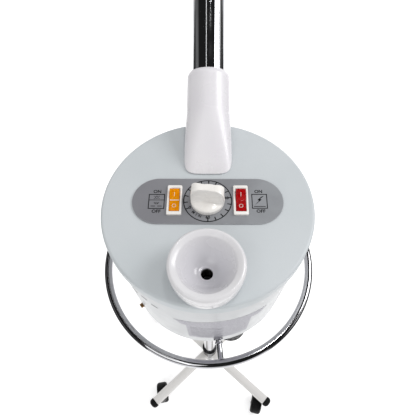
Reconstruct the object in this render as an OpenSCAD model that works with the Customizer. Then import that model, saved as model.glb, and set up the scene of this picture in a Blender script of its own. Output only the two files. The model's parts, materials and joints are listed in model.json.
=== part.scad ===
// Facial steamer on a castor stand: a drum-shaped boiler housing on a lifting column, with a
// control panel and water funnel on its lid, a ring handle round it, and an arm that carries
// the steam head.  Origin on the floor under the column, +Z up, the controls face -Y.

/* [Housing] */
// Height of the lid's top face above the floor at the rest height
lid_top = 745; // [700:5:800]
// Radius of the lid
lid_r = 105; // [102:1:112]
// Height of the lid's skirt
skirt_h = 14; // [12:1:16]
// Depth of the housing below the lid's top face
housing_h = 155; // [150:1:170]
// Radius of the housing wall at its top
wall_top_r = 102.6; // [100:0.1:102.6]
// Radius of the housing wall at its foot
wall_foot_r = 97; // [94:0.1:98]

/* [Controls] */
// Length of the control plate
plate_l = 149; // [140:1:160]
// Width of the control plate
plate_w = 52; // [44:1:56]
// Distance of the controls' centre behind the lid's centre
panel_y = 3; // [0:0.5:6]
// Distance of each rocker switch from the timer
switch_x = 32.6; // [31:0.1:36]
// Radius of the timer knob's skirt
knob_r = 16.8; // [14:0.1:18]
// Height of the timer knob
knob_h = 23; // [18:1:28]

/* [Funnel] */
// Distance of the funnel's centre in front of the lid's centre
funnel_y = 73.5; // [72:0.5:75]
// Outer radius of the funnel's rim
funnel_r = 34; // [31:0.5:36]
// Height of the funnel's rim above the lid
funnel_h = 26; // [22:1:32]
// Radius of the funnel's throat
throat_r = 5.4; // [4.5:0.1:6]

/* [Ring handle] */
// Radius of the ring handle's centre line
ring_r = 126; // [122:1:134]
// Radius of the ring handle's rod
ring_rod_r = 4.9; // [4:0.1:6]
// Depth of the ring handle below the lid's top face
ring_drop = 137.5; // [120:0.5:140]

/* [Arm] */
// Angle of the arm above the horizontal
arm_tilt = 30; // [26:1:34]
// Radius of the arm tube
arm_r = 17.5; // [16:0.1:17.8]
// Distance from the lid along the arm's axis to the arm's far end
arm_reach = 380; // [300:5:420]
// Angle of the steam head below the horizontal at rest
head_dip = 20; // [10:1:35]

/* [Stand] */
// Radius of the outer column tube
column_r = 12.5; // [12.4:0.1:14]
// Height of the outer column tube's top
column_top = 450; // [400:5:460]
// Radius of the leg tubes
leg_r = 10; // [9.5:0.1:10.5]
// Distance from the column's axis to a leg tube's end
leg_reach = 167; // [165:1:200]
// Diameter of a castor wheel
wheel_d = 40; // [38:1:44]
// Width of a castor wheel
wheel_w = 18; // [16:1:20]
// Distance by which a castor wheel trails behind its stem
castor_trail = 13; // [12:1:20]

/* [Hidden] */
$fn = 64;

// Housing levels
foot_z = lid_top - housing_h;
lid_t = 2;
wall_t = 2;
skirt_z = lid_top - skirt_h;
shell_top = lid_top - lid_t;
floor_t = 3;
floor_top = foot_z + floor_t;

// Running clearance of a shaft in its hole, and the open gap between parts that pass by
run = 0.06;
gap = 0.4;

// Controls
plate_t = 1.2;
plate_top = lid_top + plate_t;
switch_l = 33.6;
switch_w = 14.6;
rocker_l = 25;
rocker_w = 9.6;
rocker_tilt = 11;
rocker_pin_r = 1;
rocker_axis_z = plate_top - 3;
shaft_r = 3;

// Boiler
boiler_y = 18;
boiler_r = 58;
boiler_z = foot_z + 10;
boiler_h = 82;
boiler_flange_r = 66;
boiler_flange_t = 2;
gasket_t = 2;
boiler_top = boiler_z + boiler_h + boiler_flange_t;
boiler_lid_z = boiler_top + gasket_t;
boiler_lid_top = boiler_lid_z + boiler_flange_t;
boiler_screws = 6;
boiler_screw_pcd = 62;
steam_y = 62;
steam_pipe_r = 9;
lamp_at = [-34, 36];
probe_at = [-30, 8];
cutout_at = [32, 6];

// Water fill
fill_r = 9;
fill_bore = 7;
fill_z = foot_z + 78;
fill_bend = 16;

// Drain
drain_at = [28, -72];
drain_z = foot_z + 16;
drain_knob_r = 19;
drain_knob_h = 24;
spout_x = -4;

// Arm axis: it meets the lid's plane at arm_foot, and u runs along it
arm_foot = [0, 78, lid_top];
neck_r = 23.2;
neck_end_r = 22.6;
neck_end_round = 6.5;
neck_w = 50;
neck_front = 35;
neck_len = 75;
bush_from = 40;
bush_r = arm_r + 2;
pivot_at = arm_reach + 34;
ball_r = 24.5;
ear_in = 26.5;
ear_t = 4;
pivot_pin_r = 3;
nozzle_r = 36.5;
mouth_z = 88;
spigot_z = 102;
grille_t = 2.6;

// Stand
hub_r = 16.5;
hub_z = 30;
hub_h = 70;
leg_z = 64;
leg_root = 14.5;
leg_wall = 1.5;
inner_r = 10;
inner_foot = foot_z - 390;
collar_r = 20;
collar_h = 34;
collar_z = column_top - 24;
lock_z = column_top - 14;
lock_r = 3;
castor_reach = 150;
axle_r = 3;
fork_in = wheel_w / 2 + 0.6;
fork_t = 2.6;
stem_r = 4;
wheel_r = wheel_d / 2;
swivel_top = leg_z - leg_r - gap;

LEG_TURN = [223, 319, 43, 139];
CASTOR_TURN = [100, 257, 40, 150];

// ---------------------------------------------------------------- shared shapes

// A hollow cylinder standing on z = 0
module pipe(r_out, r_in, h) {
  difference() {
    cylinder(r = r_out, h = h);
    translate([0, 0, -1]) cylinder(r = r_in, h = h + 2);
  }
}

// A flat plate with half-round ends, standing on z = 0
module stadium_plate(l, w, h) {
  linear_extrude(h) {
    square([l - w, w], center = true);
    for (side = [-1, 1]) translate([side * (l - w) / 2, 0]) circle(r = w / 2);
  }
}

// A flat plate with rounded corners, standing on z = 0
module rounded_plate(l, w, r, h) {
  linear_extrude(h) {
    square([l - 2 * r, w], center = true);
    square([l, w - 2 * r], center = true);
    for (sx = [-1, 1], sy = [-1, 1]) translate([sx * (l / 2 - r), sy * (w / 2 - r)]) circle(r = r);
  }
}

// A round bar along +X from x = a to x = b
module bar_x(r, a, b) {
  translate([a, 0, 0]) rotate([0, 90, 0]) cylinder(r = r, h = b - a);
}

// A pan-head screw: head on z = 0, shank pointing down
module screw(shank_r, shank_l, head_r, head_h) {
  translate([0, 0, -shank_l]) cylinder(r = shank_r, h = shank_l);
  difference() {
    cylinder(r = head_r, h = head_h);
    for (turn = [0, 90]) rotate([0, 0, turn])
      translate([-head_r * 0.6, -0.4, head_h * 0.4]) cube([head_r * 1.2, 0.8, head_h]);
  }
}

// Children are placed with their z axis along the arm, s above the lid's plane
module on_arm(s) {
  translate(arm_foot) rotate([arm_tilt - 90, 0, 0]) translate([0, 0, s]) children();
}

// Children are placed at the head's pivot, with their z axis along the steam head
module on_head() {
  on_arm(pivot_at) rotate([-(arm_tilt + head_dip), 0, 0]) children();
}

// Points of a round arc from angle a to angle b about [cx, cy]
function arc(cx, cy, r, a, b, steps) =
  [for (i = [0 : steps]) let (t = a + (b - a) * i / steps) [cx + r * cos(t), cy + r * sin(t)]];

// ---------------------------------------------------------------- stand

module base_hub() {
  color("silver") difference() {
    translate([0, 0, hub_z]) rotate_extrude() polygon(concat(
      [[0, 0]],
      arc(hub_r - 3, 3, 3, -90, 0, 6),
      arc(hub_r - 2, hub_h - 2, 2, 0, 90, 6),
      [[0, hub_h]]));
    translate([0, 0, hub_z + 12]) cylinder(r = column_r, h = hub_h);
    for (turn = LEG_TURN) rotate([0, 0, turn]) translate([0, 0, leg_z]) bar_x(leg_r, leg_root, hub_r + 1);
    for (turn = [90, 270]) rotate([0, 0, turn]) translate([0, 0, hub_z + hub_h - 14]) bar_x(2, 0, hub_r + 1);
  }
}

// One leg tube along +X, with a hole in its underside for the castor's stem
module leg(turn) {
  color("white") rotate([0, 0, turn]) translate([0, 0, leg_z]) difference() {
    bar_x(leg_r, leg_root, leg_reach);
    bar_x(leg_r - leg_wall, leg_root - 1, leg_reach + 1);
    translate([castor_reach, 0, -leg_r - 1]) cylinder(r = stem_r + run, h = leg_r);
  }
}

module leg_end_caps() {
  color("black") for (turn = LEG_TURN) rotate([0, 0, turn]) translate([leg_reach, 0, leg_z])
    rotate([0, 90, 0]) {
      translate([0, 0, -12]) cylinder(r = leg_r - leg_wall, h = 12);
      rotate_extrude() polygon(concat(
        [[0, 0], [leg_r + 0.6, 0]],
        arc(leg_r - 7.4, 4, 8, 0, 90, 12),
        [[0, 12]]));
    }
}

module hub_screws() {
  color("dimgray") for (turn = [90, 270]) rotate([0, 0, turn])
    translate([0, 0, hub_z + hub_h - 14]) bar_x(2, column_r, hub_r - 0.5);
}

module column_tube() {
  color("silver") difference() {
    translate([0, 0, hub_z + 12]) pipe(column_r, column_r - 1.5, column_top - hub_z - 12);
    translate([0, 0, lock_z]) rotate([0, 0, 90]) bar_x(lock_r + 1, 0, column_r + 1);
  }
}

module column_bush() {
  color("dimgray") difference() {
    union() {
      translate([0, 0, column_top - 40]) cylinder(r = column_r - 1.5, h = 40);
      translate([0, 0, column_top]) cylinder(r = column_r, h = 2);
    }
    translate([0, 0, column_top - 41]) cylinder(r = inner_r + run, h = 44);
    translate([0, 0, lock_z]) rotate([0, 0, 90]) bar_x(lock_r + 1, 0, column_r + 1);
  }
}

module column_collar() {
  color("black") difference() {
    union() {
      translate([0, 0, collar_z]) rotate_extrude() polygon(concat(
        [[column_r, 0]],
        arc(collar_r - 3, 3, 3, -90, 0, 6),
        arc(collar_r - 3, collar_h - 3, 3, 0, 90, 6),
        [[column_r, collar_h], [column_r, collar_h - 8]]));
      translate([0, 0, lock_z]) rotate([0, 0, 90]) bar_x(9, column_r + 1, collar_r + 6);
      translate([0, 0, collar_z + collar_h - 8]) pipe(column_r, inner_r + gap, 8);
    }
    translate([0, 0, lock_z]) rotate([0, 0, 90]) bar_x(lock_r + run, 0, collar_r + 8);
    translate([0, 0, collar_z - 1]) cylinder(r = column_r, h = column_top + 2 - collar_z + 1);
  }
}

// Clamp screw with a lobed knob, on the column's rear side
module lock_knob() {
  lobes = 6;
  color("black") translate([0, 0, lock_z]) rotate([0, 0, 90]) {
    bar_x(lock_r, inner_r + gap, collar_r + 8);
    translate([collar_r + 7, 0, 0]) rotate([0, 90, 0]) difference() {
      union() {
        cylinder(r = 8, h = 5);
        translate([0, 0, 4]) rotate_extrude() polygon(concat(
          [[0, 0]],
          arc(16 - 3, 3, 3, -90, 0, 6),
          arc(16 - 4, 10, 4, 0, 90, 6),
          [[0, 14]]));
      }
      for (i = [0 : lobes - 1]) rotate([0, 0, i * 360 / lobes])
        translate([20, 0, 3]) cylinder(r = 7, h = 20);
    }
  }
}

// A castor's fork with its stem and riveted axle; the wheel trails towards +X
module castor_fork(turn, swivel) {
  hood_r = wheel_r + 2.8;
  color("black") rotate([0, 0, turn]) translate([castor_reach, 0, 0]) rotate([0, 0, swivel - turn]) {
    translate([0, 0, swivel_top - 1]) cylinder(r = stem_r, h = 12);
    translate([0, 0, wheel_d + 1]) cylinder(r = 10, h = swivel_top - wheel_d - 1);
    translate([castor_trail, 0, wheel_r]) {
      difference() {
        union() {
          rotate([90, 0, 0]) cylinder(r = hood_r, h = 2 * (fork_in + fork_t), center = true);
          translate([-castor_trail - 8, -fork_in - fork_t, 8])
            cube([20, 2 * (fork_in + fork_t), hood_r - 8]);
        }
        rotate([90, 0, 0]) cylinder(r = wheel_r + 1, h = 2 * fork_in, center = true);
        translate([-60, -30, -60]) cube([120, 60, 56]);
        translate([4, -fork_in, -30]) cube([60, 2 * fork_in, 42]);
      }
      for (side = [-1, 1]) translate([0, side * (fork_in + fork_t / 2), 0]) rotate([90, 0, 0])
        cylinder(r = 7, h = fork_t, center = true);
      rotate([90, 0, 0]) cylinder(r = axle_r, h = 2 * (fork_in + fork_t) + 2, center = true);
    }
  }
}

// A castor wheel with a rounded tread and a dished side
module castor_wheel(turn, swivel) {
  half = wheel_w / 2;
  color("dimgray") rotate([0, 0, turn]) translate([castor_reach, 0, 0]) rotate([0, 0, swivel - turn])
    translate([castor_trail, 0, wheel_r]) rotate([90, 0, 0]) rotate_extrude() polygon(concat(
      [[axle_r + run, -half], [axle_r + 3, -half], [axle_r + 4, -half + 3], [wheel_r - 6, -half + 3]],
      [[wheel_r - 5, -half]],
      arc(wheel_r - 3, -half + 3, 3, -90, 0, 6),
      arc(wheel_r - 3, half - 3, 3, 0, 90, 6),
      [[wheel_r - 5, half], [wheel_r - 6, half - 3], [axle_r + 4, half - 3], [axle_r + 3, half]],
      [[axle_r + run, half]]));
}

// ---------------------------------------------------------------- column and housing

module inner_column() {
  color("silver") translate([0, 0, inner_foot]) pipe(inner_r, inner_r - 1.5, foot_z - 2 - inner_foot);
}

module column_socket() {
  flange_t = 4;
  color("silver") difference() {
    union() {
      translate([0, 0, foot_z - flange_t]) cylinder(r = 36, h = flange_t);
      translate([0, 0, foot_z - 32]) rotate_extrude() polygon(concat(
        [[0, 0]], arc(13, 2, 2, -90, 0, 5), [[15, 26], [20, 30], [0, 30]]));
    }
    translate([0, 0, foot_z - 33]) cylinder(r = inner_r + run, h = 31.5);
    for (i = [0 : 3]) rotate([0, 0, 45 + 90 * i])
      translate([28, 0, foot_z - flange_t - 1]) cylinder(r = 2.6, h = flange_t + 2);
  }
}

module socket_screws() {
  color("dimgray") for (i = [0 : 3]) rotate([0, 0, 45 + 90 * i])
    translate([28, 0, foot_z - 4]) rotate([180, 0, 0]) screw(2.5, 10, 4.5, 3);
}

module floor_plate() {
  legs = [for (i = [0 : 2]) 30 + 120 * i];
  color("white") difference() {
    union() {
      translate([0, 0, foot_z]) cylinder(r = wall_foot_r - wall_t, h = floor_t);
      for (turn = legs) translate([0, boiler_y, foot_z]) rotate([0, 0, turn])
        translate([40, 0, 0]) cylinder(r = 5, h = boiler_z - foot_z);
    }
    for (i = [0 : 3]) rotate([0, 0, 45 + 90 * i])
      translate([28, 0, foot_z - 1]) cylinder(r = 2.5, h = floor_t + 2);
    translate([drain_at[0], drain_at[1], foot_z - 1]) cylinder(r = 6, h = floor_t + 2);
    translate([spout_x, drain_at[1], foot_z - 1]) cylinder(r = 6, h = floor_t + 2);
    for (i = [-2 : 2]) translate([i * 9 - 2, 78, foot_z - 1]) cube([4, 10, floor_t + 2]);
  }
}

// Where a fitting goes through the wall: its turn about the axis and its depth below the lid
relief_turn = 220;
relief_drop = 122;
inlet_face_y = 103;
inlet_z = foot_z + 38;

module housing_shell() {
  rib_z = skirt_z + 2;
  slots = [[224, 52], [232, 47.5], [239, 52], [44, 52], [52, 47.5], [59, 52]];
  color("white") difference() {
    union() {
      rotate_extrude() polygon(concat(
        [[wall_foot_r - wall_t, foot_z]],
        arc(wall_foot_r - 1.5, foot_z + 1.5, 1.5, -90, 0, 4),
        [[wall_top_r, skirt_z], [wall_top_r, shell_top], [wall_top_r - wall_t, shell_top]],
        [[wall_top_r - wall_t, skirt_z]]));
      translate([0, 0, rib_z]) pipe(wall_top_r - 1, 86, 2);
      difference() {
        translate([-26, 85, inlet_z - 16]) cube([52, inlet_face_y - 3 - 85, 32]);
        translate([0, 0, inlet_z - 20]) cylinder(r = wall_foot_r - 0.5, h = 40);
      }
    }
    for (i = [0 : 3]) rotate([0, 0, 45 + 90 * i])
      translate([91, 0, rib_z - 1]) cylinder(r = 1.8, h = 4);
    for (s = slots) rotate([0, 0, s[0]]) translate([98, 0, lid_top - s[1]])
      cube([16, 8, 1.8], center = true);
    rotate([0, 0, relief_turn]) translate([0, 0, lid_top - relief_drop]) bar_x(3, 80, 110);
    translate([0, 95, inlet_z]) cube([28, 20, 21], center = true);
  }
}

module lid_cover() {
  ring_out = wall_top_r - wall_t - 0.3;
  color("lightcyan") difference() {
    union() {
      rotate_extrude() polygon(concat(
        [[0, shell_top]],
        [[lid_r - 2, shell_top], [lid_r - 2, skirt_z], [lid_r - 0.6, skirt_z], [lid_r, skirt_z + 0.6]],
        arc(lid_r - 3, lid_top - 3, 3, 0, 90, 8),
        [[0, lid_top]]));
      translate([0, 0, skirt_z + 6]) pipe(ring_out, ring_out - 2, shell_top - skirt_z - 6);
      for (i = [0 : 3]) rotate([0, 0, 45 + 90 * i])
        translate([91, 0, skirt_z + 4]) cylinder(r = 4.5, h = shell_top - skirt_z - 4);
    }
    for (i = [0 : 3]) rotate([0, 0, 45 + 90 * i])
      translate([91, 0, skirt_z + 3]) cylinder(r = 1.5, h = 7);
    translate([0, panel_y, shell_top - 1]) cylinder(r = 6, h = 5);
    for (side = [-1, 1]) translate([side * switch_x, panel_y, lid_top])
      cube([12.6, 27.2, 8], center = true);
    translate([0, -funnel_y, shell_top - 1]) cylinder(r = fill_r, h = 5);
    translate([0, steam_y, shell_top - 1]) cylinder(r = steam_pipe_r, h = 5);
    for (side = [-1, 1]) translate([side * 18, 70, shell_top - 1]) cylinder(r = 1.8, h = 5);
  }
}

module cover_screws() {
  color("silver") {
    for (i = [0 : 3]) rotate([0, 0, 45 + 90 * i])
      translate([91, 0, skirt_z + 2]) rotate([180, 0, 0]) screw(1.5, 7, 3, 2);
    for (side = [-1, 1]) translate([side * 18, 70, shell_top]) rotate([180, 0, 0]) screw(1.8, 6, 3, 2);
  }
}

module control_plate() {
  color("darkgray") translate([0, panel_y, lid_top]) difference() {
    stadium_plate(plate_l, plate_w, plate_t);
    translate([0, 0, -1]) cylinder(r = 6, h = 4);
    for (side = [-1, 1]) translate([side * switch_x, 0, 0]) cube([12.6, 27.2, 8], center = true);
  }
}

// Chrome ring on three spokes that are screwed to the wall
module ring_handle() {
  spokes = [277, 37, 157];
  spoke_r = 3.5;
  foot_at = wall_foot_r + (wall_top_r - wall_foot_r) * (housing_h - ring_drop) / (housing_h - skirt_h);
  color("silver") translate([0, 0, lid_top - ring_drop]) {
    rotate_extrude() translate([ring_r, 0]) circle(r = ring_rod_r);
    for (turn = spokes) rotate([0, 0, turn]) {
      bar_x(spoke_r, foot_at, ring_r);
      translate([foot_at + 0.1, 0, 0]) rotate([0, 90, 0]) cylinder(r1 = 5.6, r2 = spoke_r, h = 7);
    }
  }
}

// ---------------------------------------------------------------- boiler

module boiler_tank() {
  wall = 1.5;
  color("silver") difference() {
    union() {
      translate([0, boiler_y, boiler_z]) difference() {
        union() {
          cylinder(r = boiler_r, h = boiler_h);
          translate([0, 0, boiler_h]) cylinder(r = boiler_flange_r, h = boiler_flange_t);
        }
        translate([0, 0, wall]) cylinder(r = boiler_r - wall, h = boiler_h + 2);
        for (i = [0 : boiler_screws - 1]) rotate([0, 0, i * 60])
          translate([boiler_screw_pcd, 0, boiler_h - 1]) cylinder(r = 2.1, h = 5);
      }
    }
    translate([0, boiler_y - boiler_r + 4, fill_z]) rotate([90, 0, 0]) cylinder(r = fill_r, h = 10);
    translate([drain_at[0], 0, drain_z]) rotate([90, 0, 0]) cylinder(r = 5, h = 50);
    for (side = [-1, 1]) translate([0, boiler_y + side * 13, boiler_z + 14]) bar_x(4, 40, 70);
  }
}

module boiler_gasket() {
  color("orangered") translate([0, boiler_y, boiler_top]) difference() {
    pipe(boiler_flange_r, boiler_r - 1.5, gasket_t);
    for (i = [0 : boiler_screws - 1]) rotate([0, 0, i * 60])
      translate([boiler_screw_pcd, 0, -1]) cylinder(r = 2.1, h = 5);
  }
}

module boiler_lid() {
  color("silver") difference() {
    union() {
      translate([0, boiler_y, boiler_lid_z]) cylinder(r = boiler_flange_r, h = boiler_flange_t);
      translate([0, steam_y, boiler_lid_top]) cylinder(r = steam_pipe_r + 3, h = 6);
      translate([lamp_at[0], lamp_at[1], boiler_lid_top]) cylinder(r = 10, h = 1);
    }
    translate([0, boiler_y, boiler_lid_z]) for (i = [0 : boiler_screws - 1]) rotate([0, 0, i * 60])
      translate([boiler_screw_pcd, 0, -1]) cylinder(r = 2.1, h = 5);
    translate([0, steam_y, boiler_lid_z - 1]) cylinder(r = steam_pipe_r, h = 20);
    translate([lamp_at[0], lamp_at[1], boiler_lid_z - 1]) cylinder(r = 8, h = 20);
    translate([probe_at[0], probe_at[1], boiler_lid_z - 1]) cylinder(r = 5, h = 20);
  }
}

module boiler_screws() {
  color("dimgray") translate([0, boiler_y, boiler_lid_top])
    for (i = [0 : boiler_screws - 1]) rotate([0, 0, i * 60]) translate([boiler_screw_pcd, 0, 0]) {
      screw(2, 9, 3.6, 2.6);
      translate([0, 0, -2 * boiler_flange_t - gasket_t - 3.2]) cylinder(r = 3.6, h = 3.2, $fn = 6);
    }
}

// A tubular heater: a ring with a gap, whose two ends leave through the tank's side
module heating_element() {
  loop_r = 38;
  end_y = 13;
  gap_angle = asin(end_y / loop_r);
  color("dimgray") translate([0, boiler_y, boiler_z + 14]) {
    rotate([0, 0, gap_angle]) rotate_extrude(angle = 360 - 2 * gap_angle)
      translate([loop_r, 0]) circle(r = 4);
    for (side = [-1, 1]) translate([0, side * end_y, 0]) {
      translate([loop_r * cos(gap_angle), 0, 0]) sphere(r = 5);
      bar_x(4, loop_r * cos(gap_angle), 68);
      bar_x(1.6, 68, 74);
    }
  }
}

module level_probe() {
  color("silver") translate([probe_at[0], probe_at[1], boiler_lid_top]) {
    cylinder(r = 7.5, h = 5, $fn = 6);
    translate([0, 0, -10]) cylinder(r = 5, h = 11);
    for (side = [-1, 1]) translate([side * 2.4, 0, -56]) cylinder(r = 1, h = 50);
    translate([0, 0, 4]) cylinder(r = 2, h = 9);
  }
}

module thermal_cutout() {
  color("tan") translate([cutout_at[0], cutout_at[1], boiler_lid_top]) {
    stadium_plate(24, 8, 1);
    cylinder(r = 8, h = 8);
    for (side = [-1, 1]) translate([side * 4 - 0.4, -3, 7]) cube([0.8, 6, 8]);
  }
}

module ozone_lamp() {
  lamp_r = 6;
  color("aliceblue") translate([lamp_at[0], lamp_at[1], boiler_lid_z - 34]) {
    translate([0, 0, lamp_r]) cylinder(r = lamp_r, h = 38 - lamp_r);
    translate([0, 0, lamp_r]) sphere(r = lamp_r);
  }
}

module lamp_socket() {
  color("ivory") translate([lamp_at[0], lamp_at[1], boiler_lid_z]) {
    translate([0, 0, 4]) cylinder(r = 8, h = 12);
    translate([0, 0, 3]) pipe(10, 8, 7);
  }
}

module steam_pipe() {
  color("silver") translate([0, steam_y, boiler_lid_z])
    pipe(steam_pipe_r, steam_pipe_r - 1.5, lid_top + 6 - boiler_lid_z);
}

// ---------------------------------------------------------------- water and drain

// Cup-shaped funnel: an outer wall, a rolled rim, an inner step and a cone down to the throat
module water_funnel() {
  rim_r = 2.2;
  base_r = funnel_r - 4.6;
  step_r = 22.6;
  h = funnel_h;
  color("white") translate([0, -funnel_y, lid_top]) rotate_extrude() polygon(concat(
    [[throat_r, -22], [throat_r + 1.6, -22], [fill_bore, -12], [fill_r, -8], [fill_r, 0], [base_r - 1.5, 0]],
    arc(base_r - 1.5, 1.5, 1.5, -90, 0, 4),
    [[base_r + 0.4, 4], [base_r + 2, 12], [funnel_r - 0.4, h - 2 * rim_r - 2]],
    arc(funnel_r - rim_r, h - rim_r, rim_r, 0, 180, 12),
    [[funnel_r - 2 * rim_r - 0.4, h - 5], [step_r + 4.4, h - 9]],
    arc(step_r + 3, h - 12, 2.2, 70, 160, 5),
    [[step_r - 1.6, h - 15], [15, h - 20], [9, h - 23.6], [throat_r, 1]]));
}

// Bent pipe from the funnel's stem down and back into the boiler's side
module fill_pipe() {
  top_z = lid_top - 12;
  back_y = boiler_y - boiler_r + 1.4;
  color("gray") difference() {
    union() {
      translate([0, -funnel_y, fill_z + fill_bend]) cylinder(r = fill_r, h = top_z - fill_z - fill_bend);
      translate([0, -funnel_y + fill_bend, fill_z + fill_bend]) rotate([0, -90, 0]) rotate([0, 0, 180])
        rotate_extrude(angle = 90) translate([fill_bend, 0]) circle(r = fill_r);
      translate([0, back_y, fill_z]) rotate([90, 0, 0])
        cylinder(r = fill_r, h = back_y + funnel_y - fill_bend);
    }
    translate([0, -funnel_y, fill_z + fill_bend]) cylinder(r = fill_bore, h = top_z - fill_z);
    translate([0, -funnel_y + fill_bend, fill_z + fill_bend]) rotate([0, -90, 0]) rotate([0, 0, 180])
      rotate_extrude(angle = 90) translate([fill_bend, 0]) circle(r = fill_bore);
    translate([0, back_y + 1, fill_z]) rotate([90, 0, 0])
      cylinder(r = fill_bore, h = back_y + 1 + funnel_y - fill_bend);
  }
}

// Brass pressure-relief fitting through the wall, with its nut inside
module relief_fitting() {
  wall_at = wall_foot_r + (wall_top_r - wall_foot_r) * (housing_h - relief_drop) / (housing_h - skirt_h);
  color("peru") rotate([0, 0, relief_turn]) translate([0, 0, lid_top - relief_drop]) difference() {
    union() {
      bar_x(3, wall_at - 16, wall_at + 0.4);
      bar_x(2.6, wall_at - 1, wall_at + 3.4);
      translate([wall_at - 7, 0, 0]) rotate([0, 90, 0]) cylinder(r = 5.5, h = 3.6, $fn = 6);
    }
    bar_x(1.5, wall_at - 20, wall_at + 5);
  }
}

// Appliance inlet with three blades in a deep socket, on the rear wall
module power_inlet() {
  color("dimgray") translate([0, inlet_face_y, inlet_z]) rotate([90, 0, 0]) {
    difference() {
      union() {
        rounded_plate(46, 26, 4, 3);
        translate([0, 0, 1]) rounded_plate(27, 20, 3, 21);
      }
      translate([0, 0, -1]) rounded_plate(24, 16.4, 3, 17);
      for (side = [-1, 1]) translate([side * 19, 0, -1]) cylinder(r = 1.7, h = 5);
    }
    for (at = [[-7, 1.6], [7, 1.6], [0, -2.4]]) translate([at[0] - 1, at[1] - 2, 4]) cube([2, 4, 16]);
  }
}

// Valve body on the floor plate: inlet pipe from the boiler, stem hole below, spout to one side
module drain_valve() {
  pipe_l = 47;
  color("goldenrod") difference() {
    union() {
      translate([drain_at[0], drain_at[1], foot_z]) cylinder(r = 6, h = 8);
      translate([drain_at[0], drain_at[1], floor_top]) cylinder(r = 9, h = drain_z + 9 - floor_top);
      translate([drain_at[0], drain_at[1] + pipe_l, drain_z]) rotate([90, 0, 0]) cylinder(r = 5, h = pipe_l);
      translate([0, drain_at[1], drain_z]) bar_x(6, spout_x, drain_at[0]);
      translate([spout_x, drain_at[1], drain_z]) sphere(r = 6);
      translate([spout_x, drain_at[1], foot_z]) cylinder(r = 6, h = drain_z - foot_z);
      translate([spout_x, drain_at[1], foot_z - 22]) cylinder(r = 4, h = 24);
    }
    translate([drain_at[0], drain_at[1], foot_z - 1]) cylinder(r = 2.5 + run, h = 15);
    translate([drain_at[0], drain_at[1] + pipe_l + 1, drain_z]) rotate([90, 0, 0])
      cylinder(r = 3.2, h = pipe_l + 1);
    translate([0, drain_at[1], drain_z]) bar_x(3.2, spout_x, drain_at[0]);
    translate([spout_x, drain_at[1], foot_z - 23]) cylinder(r = 2.6, h = drain_z - foot_z + 23);
  }
}

// Scalloped round knob under the floor plate, with its stem in the valve
module drain_knob() {
  flutes = 20;
  cap_h = 3;
  color("black") translate([drain_at[0], drain_at[1], foot_z - 3]) {
    translate([0, 0, -2]) cylinder(r = 2.5, h = 16);
    translate([0, 0, -cap_h]) cylinder(r = drain_knob_r, h = cap_h);
    translate([0, 0, -drain_knob_h + cap_h]) linear_extrude(drain_knob_h - 2 * cap_h) difference() {
      circle(r = drain_knob_r);
      for (i = [0 : flutes - 1]) rotate(i * 360 / flutes) translate([drain_knob_r + 0.8, 0]) circle(r = 1.7);
    }
    translate([0, 0, -drain_knob_h]) cylinder(r1 = drain_knob_r - 3, r2 = drain_knob_r, h = cap_h);
  }
}

// ---------------------------------------------------------------- controls

module timer_case() {
  case_h = 30;
  color("gainsboro") difference() {
    union() {
      translate([0, panel_y, shell_top - case_h]) rounded_plate(45, 45, 4, case_h);
      translate([0, panel_y, shell_top - 1]) cylinder(r = 6, h = plate_top - shell_top + 1);
    }
    translate([0, panel_y, shell_top - 14]) cylinder(r = shaft_r + run, h = 30);
  }
}

// Round skirt with a raised grip blade across it, and its shaft below
module timer_knob() {
  z0 = plate_top + gap;
  skirt_top = 5;
  blade_w = 7;
  blade_turn = -3;
  scoop_r = 60;
  scoop_x = 4;
  color("white") translate([0, panel_y, z0]) {
    translate([0, 0, -12]) cylinder(r = shaft_r, h = 13);
    rotate_extrude() polygon(concat(
      [[0, 0], [knob_r - 0.5, 0], [knob_r, 0.5], [knob_r, skirt_top - 1.5]],
      arc(knob_r - 1.5, skirt_top - 1.5, 1.5, 0, 90, 4),
      [[0, skirt_top]]));
    intersection() {
      rotate_extrude() polygon(concat(
        [[0, 0], [knob_r - 0.8, 0], [knob_r - 0.8, knob_h - 12]],
        arc(knob_r - 8.8, knob_h - 8, 8, 0, 90, 10),
        [[0, knob_h]]));
      rotate([0, 0, blade_turn]) difference() {
        translate([-knob_r, -knob_r, 0]) cube([2 * knob_r, 2 * knob_r, knob_h]);
        for (side = [-1, 1]) translate([side * scoop_x, side * (blade_w / 2 + scoop_r), skirt_top])
          cylinder(r = scoop_r, h = knob_h);
      }
    }
  }
}

// Rocker switch frame: bezel above the plate and a body below it, hollow for the rocker
module switch_frame(x) {
  color("white") translate([x, panel_y, plate_top]) difference() {
    union() {
      translate([0, 0, 0]) rounded_plate(switch_w, switch_l, 1.6, 2.2);
      translate([-6.2, -13.5, -22]) cube([12.4, 27, 22.5]);
      for (side = [-1, 1]) translate([side * 3.4 - 0.4, -3, -29]) cube([0.8, 6, 8]);
    }
    translate([-rocker_w / 2 - 0.3, -rocker_l / 2 - 0.5, -9]) cube([rocker_w + 0.6, rocker_l + 1, 14]);
    translate([0, 0, rocker_axis_z - plate_top]) bar_x(rocker_pin_r + run, -6, 6);
  }
}

// Rocker with two flat faces that meet in a shallow valley; its lower end is pressed in
module switch_rocker(x, tint) {
  face = rocker_l / 2;
  color(tint) translate([x, panel_y, rocker_axis_z]) rotate([rocker_tilt, 0, 0]) {
    rotate([90, 0, 90]) translate([0, 0, -rocker_w / 2]) linear_extrude(rocker_w) polygon([
      [-face + 0.6, 5], [-face + 1.4, 7.6], [0, 5.6], [face - 1.4, 7.6], [face - 0.6, 5],
      [4, -3], [-4, -3]]);
    bar_x(rocker_pin_r, -5.6, 5.6);
  }
}

module lamp_switch_frame() { switch_frame(-switch_x); }
module power_switch_frame() { switch_frame(switch_x); }
module lamp_switch_rocker() { switch_rocker(-switch_x, "orange"); }
module power_switch_rocker() { switch_rocker(switch_x, "red"); }

// ---------------------------------------------------------------- arm and steam head

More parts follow.
